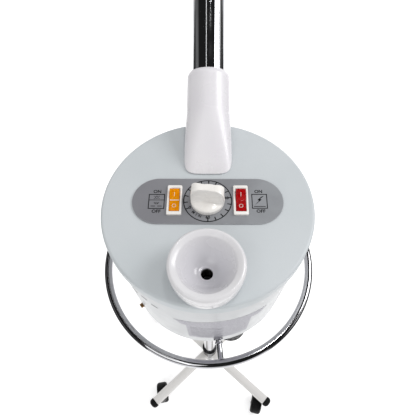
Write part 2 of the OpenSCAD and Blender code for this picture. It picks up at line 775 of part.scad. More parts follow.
module arm_neck() {
  color("white") difference() {
    intersection() {
      union() {
        hull() {
          translate([0, neck_front + 31, lid_top - 1]) rounded_plate(neck_w, 62, 9, 4, $fn = 32);
          on_arm(30) cylinder(r = neck_r + 0.3, h = 2, $fn = 48);
        }
        on_arm(30) rotate_extrude() polygon(concat(
          [[0, -4], [neck_r, -4], [neck_r, 3]],
          arc(neck_end_r - neck_end_round, neck_len - 30 - neck_end_round, neck_end_round, 0, 90, 12),
          [[0, neck_len - 30]]));
      }
      translate([-60, 0, lid_top]) cube([120, 220, 120]);
    }
    on_arm(bush_from) cylinder(r = bush_r, h = 60);
    on_arm(12) cylinder(r = 11, h = 40);
    translate([0, steam_y, lid_top - 1]) cylinder(r = steam_pipe_r + 1, h = 9);
    for (side = [-1, 1]) translate([side * 18, 70, lid_top - 1]) cylinder(r = 1.8, h = 6);
  }
}

module arm_bush() {
  color("white") on_arm(bush_from) difference() {
    cylinder(r = bush_r, h = neck_len - bush_from - 0.4);
    translate([0, 0, 3]) cylinder(r = arm_r + run, h = 60);
    translate([0, 0, -1]) cylinder(r = arm_r - 3, h = 10);
  }
}

module arm_tube() {
  tube_from = bush_from + 3 + gap;
  color("silver") on_arm(tube_from) pipe(arm_r, arm_r - 1.2, arm_reach - tube_from);
}

// Ferrule on the tube's end with two ears that hold the head's pivot
module arm_yoke() {
  flange_r = ear_in + ear_t;
  ear_half = 11;
  to_pivot = pivot_at - arm_reach;
  color("silver") on_arm(arm_reach) difference() {
    union() {
      translate([0, 0, -22]) rotate_extrude() polygon([
        [arm_r, 0], [arm_r + 2, 0], [arm_r + 2.6, 1], [arm_r + 2.6, 18], [flange_r, 22],
        [flange_r, 26], [arm_r - 2, 26], [arm_r - 2, 22], [arm_r, 22]]);
      for (side = [-1, 1]) translate([side * (ear_in + ear_t / 2) - ear_t / 2, 0, 0])
        rotate([90, 0, 90]) linear_extrude(ear_t) {
          translate([-ear_half, 0]) square([2 * ear_half, to_pivot]);
          translate([0, to_pivot]) circle(r = ear_half);
        }
    }
    translate([0, 0, to_pivot]) bar_x(pivot_pin_r + run, -40, 40);
    translate([0, 0, -30]) cylinder(r = arm_r - 2, h = 40);
    translate([0, 0, -30]) cylinder(r = arm_r, h = 30);
  }
}

// Ball-ended hollow horn: steam enters the ball and leaves through the wide mouth
module head_shell() {
  wall = 2.6;
  horn_r = 17;
  horn_z = sqrt(ball_r * ball_r - horn_r * horn_r);
  bell_r = 34;
  mouth_r = nozzle_r - 4;
  bell_z = 56;
  color("white") on_head() difference() {
    union() {
      rotate_extrude() polygon(concat(
        arc(0, 0, ball_r, -90, atan(horn_z / horn_r), 20),
        [[horn_r + 0.6, 22], [horn_r + 3, 28], [horn_r + 8, 36], [bell_r - 4, 45], [bell_r, bell_z]],
        [[bell_r + 1.6, 70], [bell_r + 2, mouth_z], [mouth_r, mouth_z], [mouth_r, spigot_z], [0, spigot_z]]));
      for (side = [-1, 1]) bar_x(9, side > 0 ? 18 : -ear_in + 0.3, side > 0 ? ear_in - 0.3 : -18);
    }
    rotate_extrude() polygon(concat(
      arc(0, 0, ball_r - wall, -90, 55, 16),
      [[horn_r - 2, 24], [horn_r + 5, 38], [bell_r - 5, 50], [bell_r - wall - 1, 62]],
      [[bell_r - wall - 1, mouth_z - 6], [mouth_r - wall, mouth_z], [mouth_r - wall, spigot_z + 1]],
      [[0, spigot_z + 1]]));
    rotate([arm_tilt + head_dip, 0, 0]) translate([0, 0, -40]) cylinder(r = 14, h = 40);
    bar_x(pivot_pin_r, -40, 40);
  }
}

module head_pivot_pins() {
  head_t = 4;
  color("silver") on_head() for (side = [-1, 1]) rotate([0, 90 * side, 0]) {
    translate([0, 0, ball_r - 5]) cylinder(r = pivot_pin_r, h = ear_in + ear_t + 5.4 - ball_r);
    translate([0, 0, ear_in + ear_t + gap]) cylinder(r = 7, h = head_t);
  }
}

// Turning mouthpiece on the head's spigot
module nozzle_ring() {
  spigot_r = nozzle_r - 4;
  lip_z = spigot_z + gap + grille_t;
  front_z = lip_z + 8;
  color("gainsboro") on_head() rotate_extrude() polygon(concat(
    [[spigot_r + run, mouth_z + gap], [nozzle_r - 0.6, mouth_z + gap], [nozzle_r, mouth_z + gap + 0.6]],
    arc(nozzle_r - 3, front_z - 3, 3, 0, 90, 6),
    [[28, front_z], [28, lip_z], [spigot_r + run, lip_z]]));
}

module nozzle_grille() {
  color("dimgray") on_head() translate([0, 0, spigot_z + gap]) difference() {
    cylinder(r = nozzle_r - 4 + run, h = grille_t);
    translate([0, 0, -1]) cylinder(r = 4, h = grille_t + 2);
    for (ring = [1, 2], i = [0 : 6 * ring - 1]) rotate([0, 0, i * 60 / ring])
      translate([ring * 10, 0, -1]) cylinder(r = 3, h = grille_t + 2);
  }
}

// ---------------------------------------------------------------- every node by name

base_hub();
leg(LEG_TURN[0]);  // leg_front_left
leg(LEG_TURN[1]);  // leg_front_right
leg(LEG_TURN[2]);  // leg_back_right
leg(LEG_TURN[3]);  // leg_back_left
leg_end_caps();
hub_screws();
column_tube();
column_bush();
column_collar();
lock_knob();
castor_fork(LEG_TURN[0], CASTOR_TURN[0]);  // castor_fork_front_left
castor_fork(LEG_TURN[1], CASTOR_TURN[1]);  // castor_fork_front_right
castor_fork(LEG_TURN[2], CASTOR_TURN[2]);  // castor_fork_back_right
castor_fork(LEG_TURN[3], CASTOR_TURN[3]);  // castor_fork_back_left
castor_wheel(LEG_TURN[0], CASTOR_TURN[0]);  // castor_wheel_front_left
castor_wheel(LEG_TURN[1], CASTOR_TURN[1]);  // castor_wheel_front_right
castor_wheel(LEG_TURN[2], CASTOR_TURN[2]);  // castor_wheel_back_right
castor_wheel(LEG_TURN[3], CASTOR_TURN[3]);  // castor_wheel_back_left
inner_column();
column_socket();
socket_screws();
floor_plate();
housing_shell();
lid_cover();
cover_screws();
control_plate();
ring_handle();
boiler_tank();
boiler_gasket();
boiler_lid();
boiler_screws();
heating_element();
level_probe();
thermal_cutout();
ozone_lamp();
lamp_socket();
steam_pipe();
water_funnel();
fill_pipe();
relief_fitting();
power_inlet();
drain_valve();
drain_knob();
timer_case();
timer_knob();
lamp_switch_frame();
lamp_switch_rocker();
power_switch_frame();
power_switch_rocker();
arm_neck();
arm_bush();
arm_tube();
arm_yoke();
head_shell();
head_pivot_pins();
nozzle_ring();
nozzle_grille();
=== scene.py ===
"""Looks of a facial steamer: detailed pieces, finishes, studio and camera round its CAD frame.

Lengths are in metres unless a name ends in _mm, and angles are in degrees.
Every piece is built at its place in the frame and then rides on its body."""

import json
from math import atan2, cos, degrees, hypot, pi, radians, sin, sqrt

import bmesh
import bpy
from mathutils import Matrix, Vector


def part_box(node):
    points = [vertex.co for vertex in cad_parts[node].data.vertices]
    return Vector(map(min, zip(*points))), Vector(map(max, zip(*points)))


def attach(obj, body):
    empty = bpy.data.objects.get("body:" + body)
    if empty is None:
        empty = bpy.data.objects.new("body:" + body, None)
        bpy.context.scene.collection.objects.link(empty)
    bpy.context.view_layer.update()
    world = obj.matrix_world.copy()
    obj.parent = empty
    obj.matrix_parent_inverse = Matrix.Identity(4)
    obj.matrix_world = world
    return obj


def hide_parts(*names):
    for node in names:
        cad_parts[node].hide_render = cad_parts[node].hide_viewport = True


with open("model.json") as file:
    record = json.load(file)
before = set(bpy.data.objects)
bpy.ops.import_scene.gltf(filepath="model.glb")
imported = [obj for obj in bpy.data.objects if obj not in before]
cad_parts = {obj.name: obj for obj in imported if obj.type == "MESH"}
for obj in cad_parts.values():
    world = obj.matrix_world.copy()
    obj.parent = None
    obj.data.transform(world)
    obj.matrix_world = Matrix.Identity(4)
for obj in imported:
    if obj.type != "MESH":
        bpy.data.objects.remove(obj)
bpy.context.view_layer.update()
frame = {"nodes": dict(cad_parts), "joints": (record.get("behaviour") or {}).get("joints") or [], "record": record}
MM = 0.001
CORNERS = ("front_left", "front_right", "back_right", "back_left")


# ---------------------------------------------------------------- places read from the frame

def joint(name):
    """The joint of that name."""
    return next(j for j in frame["joints"] if j["name"] == name)


def centre(node):
    """Middle of a CAD node's box."""
    low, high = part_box(node)
    return (low + high) / 2


LID_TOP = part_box("lid_cover")[1].z
PLATE_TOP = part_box("control_plate")[1].z
DIAL = Vector(joint("timer_turn")["pos_m"])
ARM_DIR = Vector(joint("arm_swivel")["axis"]).normalized()
ARM_POINT = Vector(joint("arm_swivel")["pos_m"])
ARM_FOOT = ARM_POINT + ARM_DIR * (LID_TOP - ARM_POINT.z) / ARM_DIR.z
FUNNEL_MID = centre("water_funnel")


def frame_along(origin, direction):
    """Matrix that stands local +Z on a direction in the YZ plane and keeps local X on X."""
    z_axis = direction.normalized()
    x_axis = Vector((1, 0, 0))
    y_axis = z_axis.cross(x_axis)
    turn = Matrix((x_axis, y_axis, z_axis)).transposed().to_4x4()
    return Matrix.Translation(origin) @ turn


ON_ARM = frame_along(ARM_FOOT, ARM_DIR)


# ---------------------------------------------------------------- mesh helpers

def arc(cx, cy, r, start, end, steps):
    """Points of a round arc about (cx, cy)."""
    points = []
    for i in range(steps + 1):
        a = radians(start + (end - start) * i / steps)
        points.append((cx + r * cos(a), cy + r * sin(a)))
    return points


def smooth_step(x, low, high):
    """0 below low, 1 above high, and a smooth rise between."""
    t = min(1.0, max(0.0, (x - low) / (high - low)))
    return t * t * (3 - 2 * t)


def skin(rings, closed_path=False):
    """Vertices and faces that join equal rings of points, one after the other."""
    count = len(rings[0])
    verts = [p for ring in rings for p in ring]
    faces = []
    spans = len(rings) if closed_path else len(rings) - 1
    for k in range(spans):
        a, b = k * count, (k + 1) % len(rings) * count
        for i in range(count):
            j = (i + 1) % count
            faces.append((a + i, a + j, b + j, b + i))
    return verts, faces


def turned(profile, steps=96, closed=False):
    """A profile of (radius, height) points turned about +Z."""
    rings = []
    for r, z in profile:
        rings.append([(r * cos(2 * pi * i / steps), r * sin(2 * pi * i / steps), z) for i in range(steps)])
    return skin(rings, closed)


def capped(rings):
    """Rings joined into a closed solid with a flat face on each end."""
    verts, faces = skin(rings)
    count = len(rings[0])
    faces.append(tuple(reversed(range(count))))
    faces.append(tuple(range(len(verts) - count, len(verts))))
    return verts, faces


def rounded_outline(length, width, r, steps=8):
    """Outline of a rectangle with rounded corners, about the origin."""
    corners = [(1, 1, 0), (-1, 1, 90), (-1, -1, 180), (1, -1, 270)]
    points = []
    for sx, sy, start in corners:
        points += arc(sx * (length / 2 - r), sy * (width / 2 - r), r, start, start + 90, steps)
    return points


def plate(outline, z0, z1, edge=0.0, steps=4):
    """A flat plate of that outline whose top edge is rounded by edge."""
    area = sum(a[0] * b[1] - b[0] * a[1] for a, b in zip(outline, outline[1:] + outline[:1]))
    inward = 1 if area > 0 else -1
    normals = []
    count = len(outline)
    for i in range(count):
        a, b = outline[i - 1], outline[(i + 1) % count]
        dx, dy = b[0] - a[0], b[1] - a[1]
        size = hypot(dx, dy) or 1
        normals.append((-dy / size * inward, dx / size * inward))
    levels = [(0.0, z0)]
    for inset, rise in arc(edge, z1 - edge, edge, 180, 90, steps):
        levels.append((inset, rise))
    rings = []
    for inset, z in levels:
        rings.append([(p[0] + n[0] * inset, p[1] + n[1] * inset, z) for p, n in zip(outline, normals)])
    return capped(rings)


def joined(*parts):
    """Several (verts, faces) pairs as one."""
    verts, faces = [], []
    for part_verts, part_faces in parts:
        shift = len(verts)
        verts += list(part_verts)
        faces += [tuple(i + shift for i in face) for face in part_faces]
    return verts, faces


def moved(part, matrix):
    """A (verts, faces) pair with its vertices moved by a matrix."""
    return [tuple(matrix @ Vector(v)) for v in part[0]], part[1]


def at(x, y, z, turn=0.0):
    """Matrix for a place and a turn about +Z."""
    return Matrix.Translation((x, y, z)) @ Matrix.Rotation(radians(turn), 4, "Z")


def piece(name, part, body, slot, replaces=(), sharp=38, finish=None):
    """A mesh object that rides on a body, in the slot's material unless it has its own."""
    mesh = bpy.data.meshes.new(name)
    mesh.from_pydata([tuple(v) for v in part[0]], [], part[1])
    work = bmesh.new()
    work.from_mesh(mesh)
    bmesh.ops.remove_doubles(work, verts=work.verts, dist=2e-6)
    bmesh.ops.dissolve_degenerate(work, edges=work.edges, dist=1e-6)
    bmesh.ops.recalc_face_normals(work, faces=work.faces)
    work.to_mesh(mesh)
    work.free()
    smooth(mesh, sharp)
    made = bpy.data.objects.new(name, mesh)
    bpy.context.scene.collection.objects.link(made)
    mesh.materials.append(finish or FINISHES[slot])
    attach(made, body)
    if replaces:
        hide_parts(*replaces)


def smooth(mesh, sharp):
    """Smooth shading, with edges sharper than an angle left crisp."""
    mesh.polygons.foreach_set("use_smooth", [True] * len(mesh.polygons))
    mesh.set_sharp_from_angle(angle=radians(sharp))


# ---------------------------------------------------------------- finishes

def rgb(red, green, blue):
    """Screen colour from 0 to 255 as the linear colour that a shader needs."""
    def linear(value):
        value /= 255
        return value / 12.92 if value <= 0.04045 else ((value + 0.055) / 1.055) ** 2.4
    return linear(red), linear(green), linear(blue), 1.0


class Finish:
    """A Principled material that is built up one effect at a time."""

    def __init__(self, name, colour, roughness, metallic=0.0):
        self.material = bpy.data.materials.new(name)
        self.material.use_nodes = True
        tree = self.material.node_tree
        self.nodes, self.links = tree.nodes, tree.links
        self.shader = self.nodes["Principled BSDF"]
        self.set("Base Color", colour)
        self.set("Roughness", roughness)
        self.set("Metallic", metallic)
        self.place = self.nodes.new("ShaderNodeTexCoord").outputs["Object"]
        self.colour_from = None
        self.normal_from = None

    def set(self, socket, value):
        self.shader.inputs[socket].default_value = value
        return self

    def noise(self, scale, detail=3.0, stretch=(1, 1, 1)):
        """Factor of a noise field with so many features per metre."""
        mapping = self.nodes.new("ShaderNodeMapping")
        mapping.inputs["Scale"].default_value = stretch
        self.links.new(self.place, mapping.inputs["Vector"])
        field = self.nodes.new("ShaderNodeTexNoise")
        field.inputs["Scale"].default_value = scale
        field.inputs["Detail"].default_value = detail
        self.links.new(mapping.outputs["Vector"], field.inputs["Vector"])
        return field.outputs["Fac"]

    def distance_from(self, point):
        """How far the surface is from a point, in metres."""
        node = self.nodes.new("ShaderNodeVectorMath")
        node.operation = "DISTANCE"
        self.links.new(self.place, node.inputs[0])
        node.inputs[1].default_value = point
        return node.outputs["Value"]

    def ramp(self, factor, low, high, start=0.0, end=1.0):
        """Factor mapped so that start..end becomes low..high."""
        node = self.nodes.new("ShaderNodeMapRange")
        node.interpolation_type = "SMOOTHSTEP"
        node.inputs["From Min"].default_value = start
        node.inputs["From Max"].default_value = end
        node.inputs["To Min"].default_value = low
        node.inputs["To Max"].default_value = high
        self.links.new(factor, node.inputs["Value"])
        return node.outputs["Result"]

    def tint(self, colour, factor):
        """Mixes another colour in by a factor field."""
        mix = self.nodes.new("ShaderNodeMix")
        mix.data_type = "RGBA"
        base = self.shader.inputs["Base Color"]
        if self.colour_from:
            self.links.new(self.colour_from, mix.inputs[6])
        else:
            mix.inputs[6].default_value = base.default_value
        mix.inputs[7].default_value = colour
        self.links.new(factor, mix.inputs[0])
        self.colour_from = mix.outputs[2]
        self.links.new(self.colour_from, base)
        return self

    def mottle(self, colour, scale, amount):
        """Soft patches of another colour."""
        return self.tint(colour, self.ramp(self.noise(scale), 0, amount, 0.4, 0.65))

    def edge_wear_and_highlight(self, colour, amount, width=0.0006):
        """Another colour along edges, found where a rounded normal leaves the true one: real wear and dust on some
        finishes, and a painted edge highlight on others.
        """
        rounded = self.nodes.new("ShaderNodeBevel")
        rounded.samples = 4
        rounded.inputs["Radius"].default_value = width
        flat = self.nodes.new("ShaderNodeNewGeometry")
        match = self.nodes.new("ShaderNodeVectorMath")
        match.operation = "DOT_PRODUCT"
        self.links.new(rounded.outputs["Normal"], match.inputs[0])
        self.links.new(flat.outputs["Normal"], match.inputs[1])
        return self.tint(colour, self.ramp(match.outputs["Value"], amount, 0, 0.75, 0.98))

    def rough(self, low, high, scale, stretch=(1, 1, 1)):
        """Roughness that drifts between two values."""
        field = self.ramp(self.noise(scale, 4.0, stretch), low, high, 0.35, 0.65)
        self.links.new(field, self.shader.inputs["Roughness"])
        return self

    def bump(self, scale, height, strength=1.0, stretch=(1, 1, 1), detail=2.0):
        """Relief from noise, its height in metres."""
        node = self.nodes.new("ShaderNodeBump")
        node.inputs["Strength"].default_value = strength
        node.inputs["Distance"].default_value = height
        self.links.new(self.noise(scale, detail, stretch), node.inputs["Height"])
        if self.normal_from:
            self.links.new(self.normal_from, node.inputs["Normal"])
        self.normal_from = node.outputs["Normal"]
        self.links.new(self.normal_from, self.shader.inputs["Normal"])
        return self


def chrome():
    """Plated steel with faint polishing haze and finger smudges."""
    f = Finish("chrome", (0.78, 0.79, 0.81, 1), 0.06, 1.0)
    f.mottle((0.62, 0.62, 0.63, 1), 35, 0.5)
    f.rough(0.045, 0.1, 30)
    return f.bump(90, 0.000003).material


def steel():
    """Brushed stainless steel."""
    f = Finish("steel", (0.55, 0.56, 0.58, 1), 0.3, 1.0)
    f.mottle((0.42, 0.42, 0.44, 1), 60, 0.6)
    f.rough(0.22, 0.42, 220, (1, 1, 0.05))
    return f.bump(2600, 0.00002, 0.5, (1, 1, 0.03)).material


def white_enamel():
    """White powder coat with a fine orange peel."""
    f = Finish("white_enamel", rgb(207, 209, 211), 0.3)
    f.set("Coat Weight", 0.15).set("Coat Roughness", 0.15)
    f.mottle(rgb(202, 204, 206), 14, 0.6)
    # painted highlight: the rounded edges are painted lighter than the coat
    f.edge_wear_and_highlight(rgb(222, 223, 225), 0.5)
    f.rough(0.28, 0.38, 45)
    return f.bump(700, 0.000003, 0.3).material


def leg_enamel():
    """The warmer white powder coat of the legs, painted lighter than the wall's coat to offset the shade the legs
    stand in.
    """
    # painted light: a brighter copy of the white enamel for the shaded legs; the warmer tint is the coat's own
    f = Finish("leg_enamel", rgb(224, 222, 220), 0.35)
    f.mottle(rgb(219, 217, 215), 14, 0.6)
    f.edge_wear_and_highlight(rgb(234, 233, 231), 0.5)
    # painted highlight: the rounded edges are painted lighter than the coat
    f.rough(0.32, 0.42, 45)
    return f.bump(700, 0.000003, 0.3).material


def lid_enamel():
    """Pale blue-grey satin coat with a fine speckle."""
    f = Finish("lid_enamel", rgb(200, 205, 208), 0.42)
    f.mottle(rgb(193, 199, 202), 9, 0.7)
    f.tint(rgb(187, 193, 196), f.ramp(f.noise(1500, 2.0), 0, 0.35, 0.55, 0.8))
    # painted highlight: a light band along the lid's rounded edges stands in for the rim's specular line
    f.edge_wear_and_highlight(rgb(232, 234, 237), 0.8)
    f.rough(0.36, 0.5, 30)
    return f.bump(1300, 0.000015, 0.3).material


def panel_grey():
    """Silk-screened satin aluminium, with a painted reflection that makes it a little lighter towards its right
    end.
    """
    f = Finish("panel_grey", rgb(137, 137, 142), 0.36, 0.15)
    # painted reflection: the plate is painted lighter towards its right end
    axis = f.nodes.new("ShaderNodeSeparateXYZ")
    f.links.new(f.place, axis.inputs["Vector"])
    f.tint(rgb(156, 159, 163), f.ramp(axis.outputs["X"], 0, 1, -0.06, 0.08))
    f.mottle(rgb(128, 128, 133), 26, 0.35)
    # painted highlight: a near-white line along the plate's bevelled edges
    f.edge_wear_and_highlight(rgb(205, 206, 208), 0.8)
    f.rough(0.3, 0.44, 40)
    return f.bump(2400, 0.00002, 0.3).material


def white_plastic():
    """Glossy moulded plastic, white with a breath of lilac."""
    f = Finish("white_plastic", rgb(229, 227, 230), 0.32)
    f.set("Coat Weight", 0.15).set("Coat Roughness", 0.14)
    f.set("Subsurface Weight", 0.12).set("Subsurface Scale", 0.004)
    f.set("Subsurface Radius", (1.0, 0.9, 1.0))
    f.mottle(rgb(225, 222, 227), 18, 0.6)
    f.rough(0.26, 0.38, 40)
    return f.bump(70, 0.00004, 0.3).material


def funnel_plastic():
    """The white plastic of the funnel, with painted shade that darkens it down its bowl and into the throat."""
    f = Finish("funnel_plastic", rgb(222, 221, 223), 0.28)
    f.set("Coat Weight", 0.3).set("Coat Roughness", 0.08)
    # painted shade: the bowl is painted darker towards the hole, in two steps
    distance = f.distance_from((FUNNEL_MID.x, FUNNEL_MID.y, LID_TOP + 6 * MM))
    f.tint(rgb(206, 205, 210), f.ramp(distance, 1, 0, 14 * MM, 37 * MM))
    f.tint(rgb(186, 185, 191), f.ramp(distance, 0.8, 0, 4 * MM, 19 * MM))
    f.mottle(rgb(217, 215, 219), 24, 0.3)
    # painted shade: the throat is painted near black where the deep hole is unlit
    throat = f.distance_from((FUNNEL_MID.x, FUNNEL_MID.y, LID_TOP - 10 * MM))
    f.tint(rgb(44, 43, 40), f.ramp(throat, 1, 0, 9 * MM, 12.5 * MM))
    f.rough(0.2, 0.3, 40)
    return f.bump(70, 0.00003, 0.3).material


def column_chrome():
    """Plating of the column and ring, duller than the arm's and with a darker base colour as painted shade, so
    that it reads against a pale floor.
    """
    # painted shade: a darker base colour than the arm's chrome, so the pale floor reflects grey in it
    f = Finish("column_chrome", (0.58, 0.58, 0.6, 1), 0.1, 1.0)
    f.mottle((0.52, 0.52, 0.54, 1), 30, 0.5)
    f.rough(0.07, 0.14, 60)
    return f.bump(400, 0.000003, 0.3).material


def dark_chrome():
    """Plated casting with a near-black base colour."""
    f = Finish("dark_chrome", (0.07, 0.07, 0.075, 1), 0.3, 1.0)
    f.mottle((0.05, 0.05, 0.052, 1), 60, 0.6)
    f.rough(0.12, 0.28, 60)
    return f.bump(400, 0.00001, 0.4).material


def ivory_plastic():
    """Warm white moulded plastic."""
    f = Finish("ivory_plastic", rgb(243, 240, 236), 0.26)
    f.set("Coat Weight", 0.3).set("Coat Roughness", 0.1)
    f.mottle(rgb(233, 229, 224), 70, 0.5)
    f.rough(0.22, 0.32, 90)
    return f.bump(900, 0.000006, 0.3).material


def black_plastic():
    """Black moulded plastic with a fine grain."""
    f = Finish("black_plastic", rgb(20, 20, 21), 0.45)
    f.set("Specular IOR Level", 0.1)
    f.mottle(rgb(32, 32, 33), 60, 0.7)
    f.edge_wear_and_highlight(rgb(56, 56, 56), 0.4)
    f.rough(0.32, 0.52, 120)
    return f.bump(1500, 0.00005, 0.5).material


def grey_plastic():
    """Light grey moulded plastic."""
    f = Finish("grey_plastic", rgb(176, 177, 180), 0.38)
    f.mottle(rgb(164, 165, 168), 55, 0.6)
    f.edge_wear_and_highlight(rgb(200, 201, 203), 0.5)
    f.rough(0.3, 0.45, 90)
    return f.bump(1200, 0.00004, 0.4).material


def lens(name, colour, deep, roughness=0.12):
    """Tinted rocker of clear plastic with a moulded ripple under its skin."""
    f = Finish(name, colour, roughness)
    f.set("Coat Weight", 0.1).set("Coat Roughness", 0.12).set("Specular IOR Level", 0.25)
    f.set("Subsurface Weight", 0.25).set("Subsurface Scale", 0.002)
    f.set("Subsurface Radius", (1.0, 0.5, 0.3))
    f.mottle(deep, 420, 0.6)
    f.rough(roughness * 0.7, roughness * 1.8, 300)
    return f.bump(300, 0.00001, 0.3, (1, 0.3, 1)).material


def tyre_grey():
    """Hard dark castor rubber, dusty on its tread."""
    f = Finish("tyre_grey", rgb(38, 38, 39), 0.62)
    f.mottle(rgb(66, 65, 63), 80, 0.6)
    f.edge_wear_and_highlight(rgb(92, 90, 86), 0.6)
    f.rough(0.5, 0.75, 160)
    return f.bump(1100, 0.00008, 0.6).material


def silicone():
    """Red-brown silicone rubber."""
    f = Finish("silicone", rgb(172, 84, 52), 0.5)
    f.mottle(rgb(150, 70, 44), 70, 0.6)
    return f.bump(900, 0.00004, 0.4).material


def brass():
    """Turned brass, slightly tarnished."""
    f = Finish("brass", rgb(178, 140, 92), 0.26, 1.0)
    f.mottle(rgb(134, 98, 62), 140, 0.7)
    f.rough(0.2, 0.42, 160)
    return f.bump(900, 0.00003, 0.5).material


def lamp_glass():
    """Clear lamp bulb with a faint blue cast."""
    f = Finish("lamp_glass", rgb(226, 236, 244), 0.04)
    f.set("Transmission Weight", 0.9).set("IOR", 1.46)
    f.mottle(rgb(206, 220, 236), 120, 0.5)
    return f.bump(70, 0.00005, 0.3).material


def cutout_body():
    """Fired ceramic of the thermal cut-out."""
    f = Finish("cutout_body", rgb(206, 196, 172), 0.6)
    f.mottle(rgb(186, 174, 148), 160, 0.7)
    return f.bump(1400, 0.00008, 0.6).material


def ink(name, colour):
    """Screen-printing ink with a slightly uneven lay."""
    f = Finish(name, colour, 0.5)
    f.set("Specular IOR Level", 0.2)
    lighter = tuple(min(1.0, c * 1.5 + 0.004) for c in colour[:3]) + (1.0,)
    f.mottle(lighter, 800, 0.4)
    f.rough(0.35, 0.55, 500)
    return f.bump(2500, 0.00001, 0.3).material


FINISHES = {
    "chrome": chrome(),
    "steel": steel(),
    "white_enamel": white_enamel(),
    "lid_enamel": lid_enamel(),
    "panel_grey": panel_grey(),
    "white_plastic": white_plastic(),
    "ivory_plastic": ivory_plastic(),
    "black_plastic": black_plastic(),
    "grey_plastic": grey_plastic(),
    "amber_lens": lens("amber_lens", rgb(234, 150, 0), rgb(210, 118, 0)),
    "red_lens": lens("red_lens", rgb(172, 0, 6), rgb(126, 0, 3), 0.2),
    "tyre_grey": tyre_grey(),
    "silicone": silicone(),
    "brass": brass(),
    "lamp_glass": lamp_glass(),
    "cutout_body": cutout_body(),
}
FUNNEL_PLASTIC = funnel_plastic()
DARK_CHROME = dark_chrome()
COLUMN_CHROME = column_chrome()
LEG_ENAMEL = leg_enamel()
BLACK_INK = ink("black_ink", rgb(20, 20, 22))
WHITE_INK = ink("white_ink", rgb(236, 232, 222))
LABEL_INK = ink("label_ink", rgb(177, 176, 183))
LABEL_RULE = ink("label_rule", rgb(146, 145, 153))


# ---------------------------------------------------------------- nodes kept from the frame

BEVELLED = {"base_hub": 0.5, "leg_end_caps": 0.4, "column_socket": 0.4, "arm_yoke": 0.5,
            "power_inlet": 0.4, "head_pivot_pins": 0.5, "nozzle_grille": 0.3}

OWN_FINISH = {"base_hub": DARK_CHROME, "column_tube": COLUMN_CHROME, "inner_column": COLUMN_CHROME}
OWN_FINISH.update({"leg_" + corner: LEG_ENAMEL for corner in CORNERS})


def finish_cad_nodes():
    """Puts every CAD node's finish on it and softens the edges of a few."""
    for part in frame["record"]["subparts"]:
        node = frame["nodes"][part["node"]]
        for place in node.material_slots:
            place.material = FINISHES[part["material_slot"]]
    for name, finish in OWN_FINISH.items():
        frame["nodes"][name].material_slots[0].material = finish
    for name, width_mm in BEVELLED.items():
        node = frame["nodes"][name]
        weld = node.modifiers.new("weld", "WELD")
        weld.merge_threshold = 2e-6
        bevel = node.modifiers.new("bevel", "BEVEL")
        bevel.width = width_mm * MM
        bevel.segments = 3
        bevel.limit_method = "ANGLE"
        bevel.angle_limit = radians(50)
        bevel.harden_normals = False


# ---------------------------------------------------------------- neck and arm

def neck():
    """White moulding that grows from a rounded-square foot into a round socket for the arm."""
    low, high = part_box("arm_neck")
    half_x = high.x
    half_y = 31 * MM
    foot_y = low.y + half_y
    round_at, end_at, end_round = 32 * MM, 75 * MM, 6.5 * MM
    round_r, end_r, hole_r = 23.2 * MM, 22.6 * MM, 19.5 * MM
    count = 112

    def foot_point(a, inset):
        """Point of the foot's outline, a rounded square, at an angle."""
        power = 2 / 4.6
        c, s = cos(a), sin(a)
        x = (half_x - inset) * abs(c) ** power * (1 if c > 0 else -1)
        y = (half_y - inset) * abs(s) ** power * (1 if s > 0 else -1)
        return Vector((x, foot_y + y, LID_TOP))

    def socket_point(a, r, along):
        """Point of the round socket at an angle: the foot's rear meets its underside."""
        return ON_ARM @ Vector((r * cos(a), r * sin(a), along))

    rings = []
    for inset, rise in arc(1.6 * MM, 1.6 * MM, 1.6 * MM, 270, 180, 4):
        turns = [2 * pi * i / count for i in range(count)]
        rings.append([foot_point(a, inset) + Vector((0, 0, rise)) for a in turns])
    for step in range(1, 15):
        t = step / 14
        ring = []
        for i in range(count):
            a = 2 * pi * i / count
            foot = foot_point(a, 0) + Vector((0, 0, 1.6 * MM))
            goal = socket_point(a, round_r, round_at)
            point = foot.lerp(goal, t)
            point.x = foot.x + (goal.x - foot.x) * t ** 1.7
            ring.append(point)
        rings.append(ring)
    for step in range(1, 13):
        t = step / 12
        along = round_at + (end_at - end_round - round_at) * t
        r = round_r + (end_r - round_r) * t
        rings.append([socket_point(2 * pi * i / count, r, along) for i in range(count)])
    lip = 1.2 * MM
    for out, up in arc(end_r - end_round, end_at - end_round, end_round, 6, 56, 9):
        rings.append([socket_point(2 * pi * i / count, max(out, hole_r), up) for i in range(count)])
    for r, along in ((hole_r, end_at - lip), (hole_r, 42 * MM)):
        rings.append([socket_point(2 * pi * i / count, r, along) for i in range(count)])
    for ring in rings:
        for i, point in enumerate(ring):
            ring[i] = Vector((point.x, point.y, max(point.z, LID_TOP)))
    piece("neck_moulding", capped(rings), "machine", "white_plastic", ("arm_neck",), 50)


def arm_tube():
    """Chrome tube of the arm, with its wall's thickness at the far end."""
    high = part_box("arm_tube")[1]
    r = high.x
    wall = 1.2 * MM
    start = 43.4 * MM
    end = 380 * MM
    soft = 0.3 * MM
    profile = [(r - wall, start), (r - soft, start)]
    steps = 40
    for i in range(steps + 1):
        profile.append((r, start + soft + (end - start - 2 * soft) * i / steps))
    profile += [(r - soft, end), (r - wall, end)]
    tube = moved(turned(profile, 128, closed=True), ON_ARM)
    piece("arm_tube_chrome", tube, "arm", "chrome", ("arm_tube",))


# ---------------------------------------------------------------- timer

def knob_height(x, y, r_knob, blade):
    """Heights of the knob's skirt and of its blade's top at a point, in mm."""
    r = min(hypot(x, y), r_knob)
    edge = 1.5
    drop = 0.0
    if r > r_knob - edge:
        drop = edge - sqrt(max(0.0, edge * edge - (r - r_knob + edge) ** 2))
    skirt = 5.0 + 2.2 * (1 - (r / r_knob) ** 2) - drop
    top_r = 8.0
    end = r_knob - 0.8
    over = max(0.0, abs(x) - (end - top_r))
    top = blade - (top_r - sqrt(max(0.0, top_r * top_r - over * over)))
    return skirt, top


